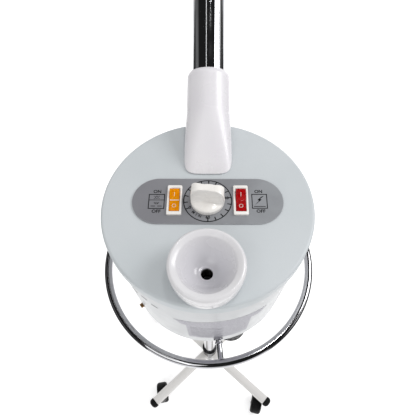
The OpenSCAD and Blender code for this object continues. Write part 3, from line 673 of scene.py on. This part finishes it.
def timer_knob():
    """Round skirt with a domed top and a tall grip blade whose faces are scooped in an S."""
    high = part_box("timer_knob")[1]
    r_knob = high.x / MM
    skirt_z = PLATE_TOP / MM + 0.4
    tall = high.z / MM - skirt_z
    half, scoop, scoop_x = 3.5, 60.0, 4.0

    def face(x, side):
        """How far the blade's front or rear face is from the blade's line at x."""
        u = x - side * scoop_x
        return half + scoop - sqrt(scoop * scoop - u * u)

    end = r_knob - 0.8
    xs = [-end * cos(pi * i / 60) for i in range(61)]
    xs = [-r_knob, -r_knob + 0.05, -r_knob + 0.3, -end - 0.05] + xs
    xs += [end + 0.05, r_knob - 0.3, r_knob - 0.05, r_knob]
    # Points up the blade's face: how far outside the face, and the share of the way up
    wall = [(2.2, 0.0), (1.2, 0.03), (0.6, 0.12), (0.3, 0.35)]
    wall += [(0.12, 0.7), (0.0, 0.93), (-0.3, 0.985), (-0.9, 1.0)]
    columns = []
    for x in xs:
        reach = sqrt(max(0.0, r_knob * r_knob - x * x))
        on_blade = abs(x) <= end
        column = []
        for side in (-1, 1):
            edge_y = face(x, side)
            rows = []
            outer = max(0.0, reach - edge_y - wall[0][0])
            for share in (1.0, 0.985, 0.96, 0.92, 0.8, 0.55, 0.25):
                rows.append((edge_y + wall[0][0] + outer * share, 0.0))
            rows += [(edge_y + out, up) for out, up in wall]
            rows.append((0.5 * edge_y, 1.0))
            placed = []
            for y, up in rows:
                y = min(y, reach)
                skirt, top = knob_height(x, y, r_knob, tall)
                z = skirt + (top - skirt) * (up if on_blade else 0.0)
                placed.append((x, side * y, z))
            column += placed if side < 0 else placed[::-1]
        columns.append(column)
    verts = [p for column in columns for p in column]
    rows = len(columns[0])
    faces = []
    for i in range(len(columns) - 1):
        for k in range(rows - 1):
            a = i * rows + k
            faces.append((a, a + rows, a + rows + 1, a + 1))
    border = [i * rows for i in range(len(columns))]
    border += [(i + 1) * rows - 1 for i in reversed(range(len(columns)))]
    first = len(verts)
    verts += [(verts[i][0], verts[i][1], 0.0) for i in border]
    count = len(border)
    for i in range(count):
        j = (i + 1) % count
        faces.append((border[i], border[j], first + j, first + i))
    faces.append(tuple(range(first, first + count)))
    knob = moved((verts, faces), Matrix.Scale(MM, 4))
    knob = moved(knob, at(DIAL.x, DIAL.y, skirt_z * MM, -3))
    shaft = turned([(0, -12 * MM), (3 * MM, -12 * MM), (3 * MM, 0.2 * MM), (0, 0.2 * MM)], 32)
    shaft = moved(shaft, at(DIAL.x, DIAL.y, skirt_z * MM))
    piece("timer_knob_moulding", joined(knob, shaft), "timer_dial", "ivory_plastic", ("timer_knob",), 48)


# ---------------------------------------------------------------- printing on the control plate

PRINT_LIFT = 0.06 * MM
DIAL_R = 23.6


def printed(name, parts, colour, body="machine", slot="panel_grey"):
    """Thin ink shapes joined as one piece, in their own ink."""
    piece(name, joined(*parts), body, slot, finish=colour)


def ink_shape(outline_mm, z, place):
    """A closed outline as a very thin solid on a flat face."""
    outline = [(x * MM, y * MM) for x, y in outline_mm]
    return moved(plate(outline, z, z + PRINT_LIFT), place)


def ink_line(a, b, width, z, place):
    """A straight ink line between two points, in mm."""
    (ax, ay), (bx, by) = a, b
    turn = degrees(atan2(by - ay, bx - ax))
    length = hypot(bx - ax, by - ay)
    outline = rounded_outline(length + width, width, width * 0.3, 2)
    spot = at((ax + bx) / 2 * MM, (ay + by) / 2 * MM, 0, turn)
    return ink_shape(outline, z, place @ spot)


def ink_ring(r_out, r_in, z, place, steps=96):
    """A round ink ring, in mm."""
    profile = [(r_in * MM, z), (r_out * MM, z), (r_out * MM, z + PRINT_LIFT), (r_in * MM, z + PRINT_LIFT)]
    return moved(turned(profile, steps, closed=True), place)


def lettering(text, size_mm, z, place, weight=0.0):
    """Generic lettering as a thin solid, centred on its place."""
    curve = bpy.data.curves.new("lettering", "FONT")
    curve.body = text
    curve.size = size_mm * MM
    curve.align_x = "CENTER"
    curve.align_y = "CENTER"
    curve.offset = weight * MM
    curve.extrude = PRINT_LIFT / 2
    curve.resolution_u = 4
    holder = bpy.data.objects.new("lettering", curve)
    mesh = bpy.data.meshes.new_from_object(holder)
    verts = [v.co.copy() for v in mesh.vertices]
    faces = [tuple(p.vertices) for p in mesh.polygons]
    bpy.data.objects.remove(holder)
    bpy.data.meshes.remove(mesh)
    bpy.data.curves.remove(curve)
    return moved((verts, faces), place @ Matrix.Translation((0, 0, z + PRINT_LIFT / 2)))


def timer_scale():
    """Printed ring, ticks every 4 minutes, and the figures 0, 40 and 60."""
    spot = at(DIAL.x, DIAL.y, PLATE_TOP)
    zero, sweep, tick_step = 205.0, 294.0, 4
    parts = [ink_ring(DIAL_R + 0.5, DIAL_R - 0.5, 0, spot)]
    for minute in range(0, 61, tick_step):
        a = radians(zero - sweep * minute / 60)
        inner, outer = DIAL_R - 3.5, DIAL_R - 0.2
        start = (inner * cos(a), inner * sin(a))
        end = (outer * cos(a), outer * sin(a))
        parts.append(ink_line(start, end, 1.1, 0, spot))
    for minute, text in ((0, "0"), (40, "40"), (60, "60")):
        a = zero - sweep * minute / 60
        r = DIAL_R - (4.6 if minute != 40 else 4.9)
        place = spot @ at(r * cos(radians(a)) * MM, r * sin(radians(a)) * MM, 0)
        parts.append(lettering(text, 4.4, 0, place, 0.12))
    for i, letter in enumerate("MIN"):
        a = 224 + 11.5 * i
        r = DIAL_R - 4.3
        place = spot @ at(r * cos(radians(a)) * MM, r * sin(radians(a)) * MM, 0, a + 90)
        parts.append(lettering(letter, 3.8, 0, place, 0.1))
    printed("timer_scale_print", parts, BLACK_INK)


def box_lines(x, y, w, h, width, spot):
    """Four ink lines that frame a small box."""
    corners = [(x - w / 2, y - h / 2), (x + w / 2, y - h / 2), (x + w / 2, y + h / 2), (x - w / 2, y + h / 2)]
    return [ink_line(a, b, width, 0, spot) for a, b in zip(corners, corners[1:] + corners[:1])]


def lamp_symbol():
    """Symbol beside the left switch: a lamp with rays over a basin, between ON and OFF."""
    spot = at(-50.3 * MM, 1.9 * MM, PLATE_TOP)
    parts = box_lines(0, 0, 15.2, 16.2, 0.85, spot)
    parts.append(ink_line((-7.6, 1.6), (7.6, 1.6), 0.6, 0, spot))
    parts.append(ink_ring(1.5, 1.0, 0, spot @ at(0, 4.6 * MM, 0), 32))
    for angle in (30, 90, 150, 210, 330):
        a = radians(angle)
        start = (2.2 * cos(a), 4.6 + 2.2 * sin(a))
        end = (3.1 * cos(a), 4.6 + 3.1 * sin(a))
        parts.append(ink_line(start, end, 0.5, 0, spot))
    for side in (-1, 1):
        parts.append(ink_line((side * 2.2, -1.2), (side * 1.2, -2.8), 0.55, 0, spot))
        parts.append(ink_line((side * 5.2, -5.4), (side * 1.4, -5.4), 0.7, 0, spot))
    parts.append(ink_ring(1.1, 0.7, 0, spot @ at(0, -2.0 * MM, 0), 32))
    parts.append(lettering("ON", 5.0, 0, spot @ at(0.2 * MM, 11.3 * MM, 0), 0.13))
    parts.append(lettering("OFF", 5.0, 0, spot @ at(0.4 * MM, -11.4 * MM, 0), 0.13))
    printed("lamp_symbol_print", parts, BLACK_INK)


def power_symbol():
    """Symbol beside the right switch: a plug's flash in a box, between ON and OFF."""
    spot = at(51.0 * MM, 2.4 * MM, PLATE_TOP)
    parts = box_lines(0, 0, 14.6, 16.0, 0.85, spot)
    flash = [(4.6, 6.2), (0.6, 2.6), (2.2, 1.8), (-4.6, -4.2), (-0.4, 0.6), (-2.0, 1.4), (2.2, 5.4)]
    parts.append(ink_shape(flash, 0, spot))
    parts.append(ink_line((-5.4, -6.0), (5.4, -6.0), 0.7, 0, spot))
    parts.append(lettering("ON", 5.0, 0, spot @ at(-0.6 * MM, 11.2 * MM, 0), 0.13))
    parts.append(lettering("OFF", 5.0, 0, spot @ at(0.8 * MM, -11.4 * MM, 0), 0.13))
    printed("power_symbol_print", parts, BLACK_INK)


# ---------------------------------------------------------------- rocker switches

def switch_frame(name, node):
    """Bezel with a rounded rim and a chamfered well, over its body and terminals."""
    low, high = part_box(node)
    x, y = (low.x + high.x) / 2, (low.y + high.y) / 2
    rim = high.z - PLATE_TOP
    outer = rounded_outline(high.x - low.x, high.y - low.y, 1.4 * MM, 6)
    well = rounded_outline(10.2 * MM, 26 * MM, 0.5 * MM, 6)
    mouth = rounded_outline(11.2 * MM, 27 * MM, 0.8 * MM, 6)
    case = rounded_outline(12.4 * MM, 27 * MM, 0.6 * MM, 6)

    def ring(outline, z, shrink=0.0):
        """Outline at a height, drawn in by a share."""
        return [(px * (1 - shrink / 7), py * (1 - shrink / 16), z) for px, py in outline]

    rings = [ring(outer, 0), ring(outer, rim - 0.7 * MM), ring(outer, rim - 0.2 * MM, 0.12),
             ring(outer, rim, 0.4), ring(mouth, rim), ring(well, rim - 0.6 * MM), ring(well, -9 * MM),
             ring(case, -9.2 * MM),
             ring(case, 0)]
    bezel = skin(rings, closed_path=True)
    body = plate(case, -22 * MM, -9.1 * MM)
    tabs = []
    for side in (-1, 1):
        tab = rounded_outline(0.8 * MM, 6 * MM, 0.1 * MM, 2)
        tabs.append(moved(plate(tab, -29 * MM, -21.5 * MM), at(side * 3.4 * MM, 0, 0)))
    part = moved(joined(bezel, body, *tabs), at(x, y, PLATE_TOP))
    piece(name, part, "machine", "ivory_plastic", (node,), 32)


def rocker(name, node, body, slot, joint_name, valley_glint):
    """Rocker with two hollowed faces that meet in a valley, and its I and O marks; when asked, also a white ink
    line along the valley as a painted highlight.
    """
    axis = Vector(joint(joint_name)["pos_m"])
    half_w = 4.8
    face = 12.5
    tilt = Matrix.Rotation(radians(11), 4, "X")
    spot = Matrix.Translation(axis) @ tilt
    profile = [(-4, -3), (-face + 0.6, 5), (-face + 0.9, 7.0), (-face + 1.4, 7.45)]
    for i in range(1, 12):
        t = i / 12
        profile.append((-face + 1.4 + (face - 1.4) * t, 7.5 - 1.9 * t - 0.25 * sin(pi * t)))
    profile.append((0, 5.6))
    profile += [(-y, z) for y, z in reversed(profile[:-1])]
    rings = []
    for x, shrink in ((-half_w, 0.35), (-half_w + 0.12, 0.1), (-half_w + 0.4, 0.0),
                      (half_w - 0.4, 0.0), (half_w - 0.12, 0.1), (half_w, 0.35)):
        ring = []
        for y, z in profile:
            lower = shrink if z > 4.9 else 0.0
            ring.append((x * MM, (y - (0.02 * shrink * y)) * MM, (z - lower) * MM))
        rings.append(ring)
    pin = moved(turned([(0, -5.6 * MM), (1.0 * MM, -5.6 * MM), (1.0 * MM, 5.6 * MM), (0, 5.6 * MM)], 24),
                Matrix.Rotation(radians(90), 4, "Y"))
    part = moved(joined(capped(rings), pin), spot)
    piece(name, part, body, slot, (node,), 30)
    slope = degrees(atan2(1.9, face - 1.4))
    far = spot @ Matrix.Translation((0, 6.0 * MM, 6.45 * MM)) @ Matrix.Rotation(radians(slope), 4, "X")
    near = spot @ Matrix.Translation((0, -6.0 * MM, 6.45 * MM)) @ Matrix.Rotation(radians(-slope), 4, "X")
    marks = [ink_line((0, -1.9), (0, 1.9), 0.4, 0, far), ink_ring(1.95, 1.6, 0, near, 40)]
    # painted highlight: a white ink line along the valley stands in for the glint there, in one piece with the I
    # and O marks
    if valley_glint:
        marks.append(ink_line((-4.2, 0), (4.2, 0), 0.7, 5.62 * MM, spot))
    printed(name + "_marks", marks, WHITE_INK, body, slot)


# ---------------------------------------------------------------- funnel

def funnel():
    """Cup-shaped funnel: bulged wall, rolled rim, inner step and a cone down to the throat."""
    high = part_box("water_funnel")[1]
    r = high.x / MM
    h = (high.z - LID_TOP) / MM
    rim, band, throat = 3.6, 8.6, 5.4
    profile = [(throat, -22), (throat + 1.6, -22), (7, -12), (9, -8), (9, 0), (r - 3.6, 0)]
    profile += arc(r - 3.6, 1.5, 1.5, -90, 0, 5)
    for i in range(1, 12):
        t = i / 12
        profile.append((r - 2.1 * (1 - t) ** 2, 1.5 + (h - rim - 1.5) * t))
    profile += arc(r - rim, h - rim, rim, 0, 75, 12)
    top = profile[-1]
    for i in range(1, 9):
        t = i / 8
        profile.append((top[0] - (band - rim) * t, top[1] - 2.2 * t ** 1.3))
    edge_r, edge_z = profile[-1]
    for i in range(1, 29):
        t = i / 28
        bowl = edge_r - (edge_r - throat - 1.0) * t
        profile.append((bowl, edge_z - (edge_z - 1.4) * sin(radians(90 * t)) ** 0.95))
    profile += arc(throat + 1.0, 0.4, 1.0, 90, 180, 4)
    part = moved(turned([(x * MM, z * MM) for x, z in profile], 144, closed=True),
                 at(FUNNEL_MID.x, FUNNEL_MID.y, LID_TOP))
    piece("water_funnel_cup", part, "machine", "white_plastic", ("water_funnel",), 60, FUNNEL_PLASTIC)


# ---------------------------------------------------------------- label on the wall

def wall_radius(depth_mm):
    """Radius of the tapered wall at a depth below the lid's top."""
    top_r, foot_r = 102.6, 97.0
    skirt, foot = 14.0, 155.0
    return top_r + (foot_r - top_r) * (depth_mm - skirt) / (foot - skirt)


def wall_patch(turns, top, bottom, lift, rows=2):
    """A thin skin on the front wall between two depths that may vary with the turn."""
    front = []
    for turn in turns:
        column = []
        for k in range(rows + 1):
            depth = top(turn) + (bottom(turn) - top(turn)) * k / rows
            a = radians(270 + turn)
            for out in (lift, lift + 0.05):
                r = wall_radius(depth) + out
                column.append((r * cos(a) * MM, r * sin(a) * MM, LID_TOP - depth * MM))
        front.append(column[0::2] + column[1::2][::-1])
    return capped(front)


def wall_label():
    """Plain label with no wording: a banner over a block of thin rules."""
    middle, half = 8.5, 28.5
    turns = [middle - half + 2 * half * i / 40 for i in range(41)]

    def banner_top(turn):
        return 57 + 9 * ((turn - middle) / half) ** 2

    def banner_foot(turn):
        end = abs(turn - middle) / half
        return banner_top(turn) + 2 + 15 * (1 - smooth_step(end, 0.82, 1.0))

    body_turns = [-12.7 + 39.7 * i / 30 for i in range(31)]
    parts = [wall_patch(turns, banner_top, banner_foot, 0.02)]
    parts.append(wall_patch(body_turns, banner_foot, lambda turn: 134, 0.02, 4))
    printed("wall_label_sheet", parts, LABEL_INK, "machine", "white_enamel")
    rules = []
    for row in range(11):
        depth = 84 + 4.2 * row
        start, end = (-10.5, 10) if row % 3 else (-10.5, 5)
        row_turns = [start + (end - start) * i / 14 for i in range(15)]
        rules.append(wall_patch(row_turns, lambda turn, d=depth: d, lambda turn, d=depth: d + 0.8, 0.09, 1))
    printed("wall_label_rules", rules, LABEL_RULE, "machine", "white_enamel")


def painted_vent_shade():
    """Dark sheet in each slot of the wall, just under its surface: painted shade where the open slots are dark."""
    parts = []
    # painted shade: black sheets where the slots show only shade
    for turn, depth in ((224, 52), (232, 47.5), (239, 52), (44, 52), (52, 47.5), (59, 52)):
        turns = [turn - 270 + 2.2 * (i / 3 - 1) for i in range(7)]
        parts.append(wall_patch(turns, lambda turn, d=depth: d - 1.3, lambda turn, d=depth: d + 1.3, 0.02, 1))
    printed("painted_vent_shade", parts, BLACK_INK, "machine", "black_plastic")


# ---------------------------------------------------------------- ring handle

def ring_handle():
    """Chrome ring with three spokes, each screwed to the wall through a collar."""
    low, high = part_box("ring_handle")
    rod = 4.9
    ring_r = high.x / MM - rod
    mid_z = (low.z + high.z) / 2
    parts = [turned([((ring_r + x) * MM, z * MM) for x, z in arc(0, 0, rod, 0, 360, 40)[:-1]], 200, True)]
    depth = (LID_TOP - mid_z) / MM
    foot = wall_radius(depth) + 0.15
    # Radius of the spoke's screwed collar, and the distance from the wall
    collar = [(0, 0), (5.2, 0), (5.5, 0.3), (5.5, 2.6), (5.2, 2.9), (3.7, 3.1), (3.5, 3.6), (3.5, 4.6)]
    collar += [(4.6, 5.0), (4.7, 6.8), (3.5, 7.3), (3.4, 9), (3.5, 12)]
    for turn in (277, 37, 157):
        profile = [(r, foot + rise) for r, rise in collar]
        profile += [(3.5, ring_r - rod), (4.2, ring_r - rod + 1.2), (0, ring_r)]
        spoke = turned([(r * MM, z * MM) for r, z in profile], 40)
        lay = Matrix.Rotation(radians(turn), 4, "Z") @ Matrix.Rotation(radians(90), 4, "Y")
        parts.append(moved(spoke, lay))
    part = moved(joined(*parts), at(0, 0, mid_z))
    piece("ring_handle_chrome", part, "machine", "chrome", ("ring_handle",), 40, COLUMN_CHROME)


# ---------------------------------------------------------------- castors

def castor_hood(corner):
    """Rounded hood over a castor wheel, with its axle, its swivel pad and its stem."""
    stem = Vector(joint("castor_swivel_" + corner)["pos_m"])
    axle = Vector(joint("wheel_turn_" + corner)["pos_m"])
    trail = axle - stem
    turn = degrees(atan2(trail.y, trail.x))
    reach = hypot(trail.x, trail.y) / MM
    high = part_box("castor_fork_" + corner)[1]
    wheel_r = axle.z / MM
    half, r_out, thick, soft = 12.2, wheel_r + 2.8, 2.1, 6.0
    outer = [(-half, 2.0)] + arc(-half + soft, r_out - soft, soft, 180, 90, 7)
    outer += arc(half - soft, r_out - soft, soft, 90, 0, 7) + [(half, 2.0)]
    inner_soft = soft - thick
    inner = [(half - thick, 2.0)] + arc(half - soft, r_out - soft, inner_soft, 0, 90, 7)
    inner += arc(-half + soft, r_out - soft, inner_soft, 90, 180, 7) + [(-half + thick, 2.0)]
    section = outer + inner
    rings = []
    for i in range(41):
        a = radians(-8 + 196 * i / 40)
        rings.append([(r * cos(a) * MM, x * MM, r * sin(a) * MM) for x, r in section])
    arch = moved(capped(rings), at(reach * MM, 0, axle.z))
    lay = Matrix.Translation((reach * MM, 0, axle.z)) @ Matrix.Rotation(radians(90), 4, "X")
    ends = []
    for side in (-1, 1):
        end = [(0, half - 2.1), (7, half - 2.1), (7, half)]
        end += [(3.8, half + 0.3), (3, half + 0.9), (0, half + 0.9)]
        ends.append(moved(turned([(r * MM, side * z * MM) for r, z in end], 36), lay))
    rod = turned([(0, -half * MM), (3 * MM, -half * MM), (3 * MM, half * MM), (0, half * MM)], 36)
    pad_r, pad_top = 10 * MM, high.z - 10.6 * MM
    bottom, soft_top, top = [], [], []
    for i in range(48):
        a = 2 * pi * i / 48
        x, y = pad_r * cos(a), pad_r * sin(a)
        over = abs(x / MM - reach)
        arch_z = sqrt(max(0.0, (r_out - 1) ** 2 - over * over))
        bottom.append((x, y, axle.z + max(10.0, arch_z) * MM))
        soft_top.append((x, y, pad_top - 0.8 * MM))
        top.append((x * 0.92, y * 0.92, pad_top))
    pad = capped([bottom, soft_top, top])
    post = turned([(0, axle.z + 25 * MM), (4 * MM, axle.z + 25 * MM), (4 * MM, high.z), (0, high.z)], 32)
    part = moved(joined(arch, moved(rod, lay), *ends, pad, post), at(stem.x, stem.y, 0, turn))
    node = "castor_fork_" + corner
    piece("castor_hood_" + corner, part, "castor_" + corner, "black_plastic", (node,), 40)


# ---------------------------------------------------------------- studio

FLOOR_HALF = 6.0
HORIZON_TOP = 0.12
SURROUND = 0.635
PITCH = 59.33
YAW = 1.09
ROLL = -0.74
LENS = 35.35
SENSOR = 36.0
CAMERA_AT = Vector((0.0043, -0.2083, 1.0882))


def stage_mesh(name, part, material):
    """A mesh of the studio, which isn't part of the object."""
    mesh = bpy.data.meshes.new(name)
    mesh.from_pydata(part[0], [], part[1])
    mesh.materials.append(material)
    made = bpy.data.objects.new(name, mesh)
    bpy.context.scene.collection.objects.link(made)
    return made


def studio_floor():
    """Wide pale floor with a very faint texture that glows, greyer far from the object: a painted pool of light
    round the object.
    """
    count = 24
    verts, faces = [], []
    for i in range(count + 1):
        for k in range(count + 1):
            verts.append((FLOOR_HALF * (2 * i / count - 1), FLOOR_HALF * (2 * k / count - 1), 0))
    for i in range(count):
        for k in range(count):
            a = i * (count + 1) + k
            faces.append((a, a + count + 1, a + count + 2, a + 1))
    f = Finish("studio_paper", (0.93, 0.93, 0.93, 1), 0.9)
    f.mottle((0.91, 0.91, 0.915, 1), 3, 0.5)
    f.set("Specular IOR Level", 0.1)
    away = f.distance_from((0, 0, 0))
    # painted shade: the floor turns grey beyond 2 m from the object
    f.tint((0.5, 0.5, 0.505, 1), f.ramp(away, 0, 1, 2.0, 3.6))
    # painted light: the floor glows in its own colour, which keeps it white round the object
    f.set("Emission Strength", 0.45)
    f.links.new(f.colour_from, f.shader.inputs["Emission Color"])
    stage_mesh("studio_floor", (verts, faces), f.bump(300, 0.0001, 0.1).material)


def reflection_dome():
    """What bright metal sees: dark ceiling, bright horizon, a strip light and a side softbox."""
    radius = 4.5
    dome_part = turned([(radius * cos(radians(e)), radius * sin(radians(e))) for e in range(-2, 91, 4)], 96)
    material = bpy.data.materials.new("reflection_dome")
    material.use_nodes = True
    nodes, links = material.node_tree.nodes, material.node_tree.links
    nodes.clear()
    place = nodes.new("ShaderNodeTexCoord").outputs["Object"]
    direction = nodes.new("ShaderNodeVectorMath")
    direction.operation = "NORMALIZE"
    links.new(place, direction.inputs[0])
    axes = nodes.new("ShaderNodeSeparateXYZ")
    links.new(direction.outputs[0], axes.inputs[0])

    def band(value, start, full, end, zero, level):
        """Level that rises from start to full and falls from end to zero."""
        rise, fall = nodes.new("ShaderNodeMapRange"), nodes.new("ShaderNodeMapRange")
        for node, low, high, first, last in ((rise, start, full, 0, 1), (fall, end, zero, 1, 0)):
            node.inputs["From Min"].default_value = low
            node.inputs["From Max"].default_value = high
            node.inputs["To Min"].default_value = first
            node.inputs["To Max"].default_value = last
            links.new(value, node.inputs["Value"])
        return math_node("MULTIPLY", math_node("MULTIPLY", rise.outputs[0], fall.outputs[0]), level)

    def math_node(operation, a, b):
        """One step of arithmetic on values or sockets."""
        node = nodes.new("ShaderNodeMath")
        node.operation = operation
        for i, item in enumerate((a, b)):
            if isinstance(item, (int, float)):
                node.inputs[i].default_value = item
            else:
                links.new(item, node.inputs[i])
        return node.outputs[0]

    x, y, z = axes.outputs
    side = math_node("ABSOLUTE", x, 0)
    side_gap = math_node("MULTIPLY", band(side, 0.72, 0.78, 2, 3, 0.93), band(z, -0.08, -0.02, 0.24, 0.32, 1))
    horizon = band(z, -2, -1, HORIZON_TOP, HORIZON_TOP + 0.16, 0.85)
    horizon = math_node("MULTIPLY", horizon, math_node("SUBTRACT", 1, side_gap))
    strip = math_node("MULTIPLY", band(x, -0.225, -0.215, -0.185, -0.175, 1.4), band(z, 0.5, 0.7, 2, 3, 1))
    softbox = math_node("MULTIPLY", band(x, 0.77, 0.88, 2, 3, 1.4), band(z, 0.33, 0.36, 0.48, 0.54, 1))
    fill = math_node("MULTIPLY", band(x, -3, -2, -0.86, -0.7, 0.14), band(z, 0.2, 0.26, 0.5, 0.6, 1))
    rear = math_node("MULTIPLY", band(y, 0.5, 0.75, 2, 3, 0.75), band(z, 0.1, 0.2, 0.62, 0.75, 1))
    total = 0.014
    for part in (horizon, strip, softbox, fill, rear):
        total = math_node("ADD", total, part)
    glow = nodes.new("ShaderNodeEmission")
    links.new(total, glow.inputs["Strength"])
    output = nodes.new("ShaderNodeOutputMaterial")
    links.new(glow.outputs[0], output.inputs["Surface"])
    material.cycles.emission_sampling = "NONE"
    dome = stage_mesh("reflection_dome", dome_part, material)
    dome.data.polygons.foreach_set("use_smooth", [True] * len(dome.data.polygons))
    only_reflected(dome)


def only_reflected(thing):
    """Leaves a stage piece visible to mirror-like surfaces alone."""
    thing.visible_camera = False
    thing.visible_diffuse = False
    thing.visible_shadow = False
    thing.visible_transmission = False
    thing.visible_volume_scatter = False


def black_flags():
    """Low black cards at both sides, which give the bright metal its dark edges."""
    black = Finish("black_flag", (0.01, 0.01, 0.01, 1), 0.95)
    black.mottle((0.015, 0.015, 0.015, 1), 4, 0.5)
    for side in (-1, 1):
        x = side * 0.75
        reach, foot, top = 0.8, 0.02, 0.66
        corners = [(x, -reach, foot), (x, reach, foot), (x, reach, top), (x, -reach, top)]
        only_reflected(stage_mesh("black_flag", (corners, [(0, 1, 2, 3)]), black.material))


def studio_light():
    """Even white surroundings, a soft key from the right, a fill from the front left and a spark."""
    scene = bpy.context.scene
    world = bpy.data.worlds.new("studio")
    world.use_nodes = True
    world.node_tree.nodes["Background"].inputs["Color"].default_value = (1.0, 1.0, 1.0, 1)
    world.node_tree.nodes["Background"].inputs["Strength"].default_value = SURROUND
    scene.world = world
    aim = Vector((0, 0, 0.7))
    lamps = [("key", (1.5, 0.4, 1.9), 0.9, 16.0), ("fill", (-0.7, -1.3, 1.9), 1.2, 6.5),
             ("spark", (0.3, 0.25, 2.2), 0.14, 2.0)]
    for name, place, size, power in lamps:
        data = bpy.data.lights.new(name, "AREA")
        data.energy = power
        data.shape = "SQUARE"
        data.size = size
        lamp = bpy.data.objects.new(name, data)
        lamp.location = place
        lamp.rotation_euler = (aim - Vector(place)).to_track_quat("-Z", "Y").to_euler()
        scene.collection.objects.link(lamp)
    scene.view_settings.view_transform = "Standard"
    scene.view_settings.look = "None"


def camera():
    """Camera above and in front, looking steeply down at the lid."""
    pitch, yaw, roll = radians(PITCH), radians(YAW), radians(ROLL)
    ahead = Vector((-sin(yaw) * cos(pitch), cos(yaw) * cos(pitch), -sin(pitch)))
    right = Vector((cos(yaw), sin(yaw), 0))
    up = right.cross(ahead)
    x_axis = right * cos(roll) + up * sin(roll)
    y_axis = up * cos(roll) - right * sin(roll)
    turn = Matrix((x_axis, y_axis, -ahead)).transposed().to_4x4()
    data = bpy.data.cameras.new("camera")
    data.lens = LENS
    data.sensor_width = SENSOR
    data.clip_start = 0.01
    data.clip_end = 50
    eye = bpy.data.objects.new("camera", data)
    eye.matrix_world = Matrix.Translation(CAMERA_AT) @ turn
    bpy.context.scene.collection.objects.link(eye)
    bpy.context.scene.camera = eye


# ---------------------------------------------------------------- build

finish_cad_nodes()
neck()
arm_tube()
timer_knob()
timer_scale()
lamp_symbol()
power_symbol()
switch_frame("lamp_switch_bezel", "lamp_switch_frame")
switch_frame("power_switch_bezel", "power_switch_frame")
rocker("lamp_rocker", "lamp_switch_rocker", "lamp_key", "amber_lens", "lamp_key_press", True)
rocker("power_rocker", "power_switch_rocker", "power_key", "red_lens", "power_key_press", False)
funnel()
wall_label()
painted_vent_shade()
ring_handle()
for corner in CORNERS:
    castor_hood(corner)
studio_floor()
reflection_dome()
black_flags()
studio_light()
camera()
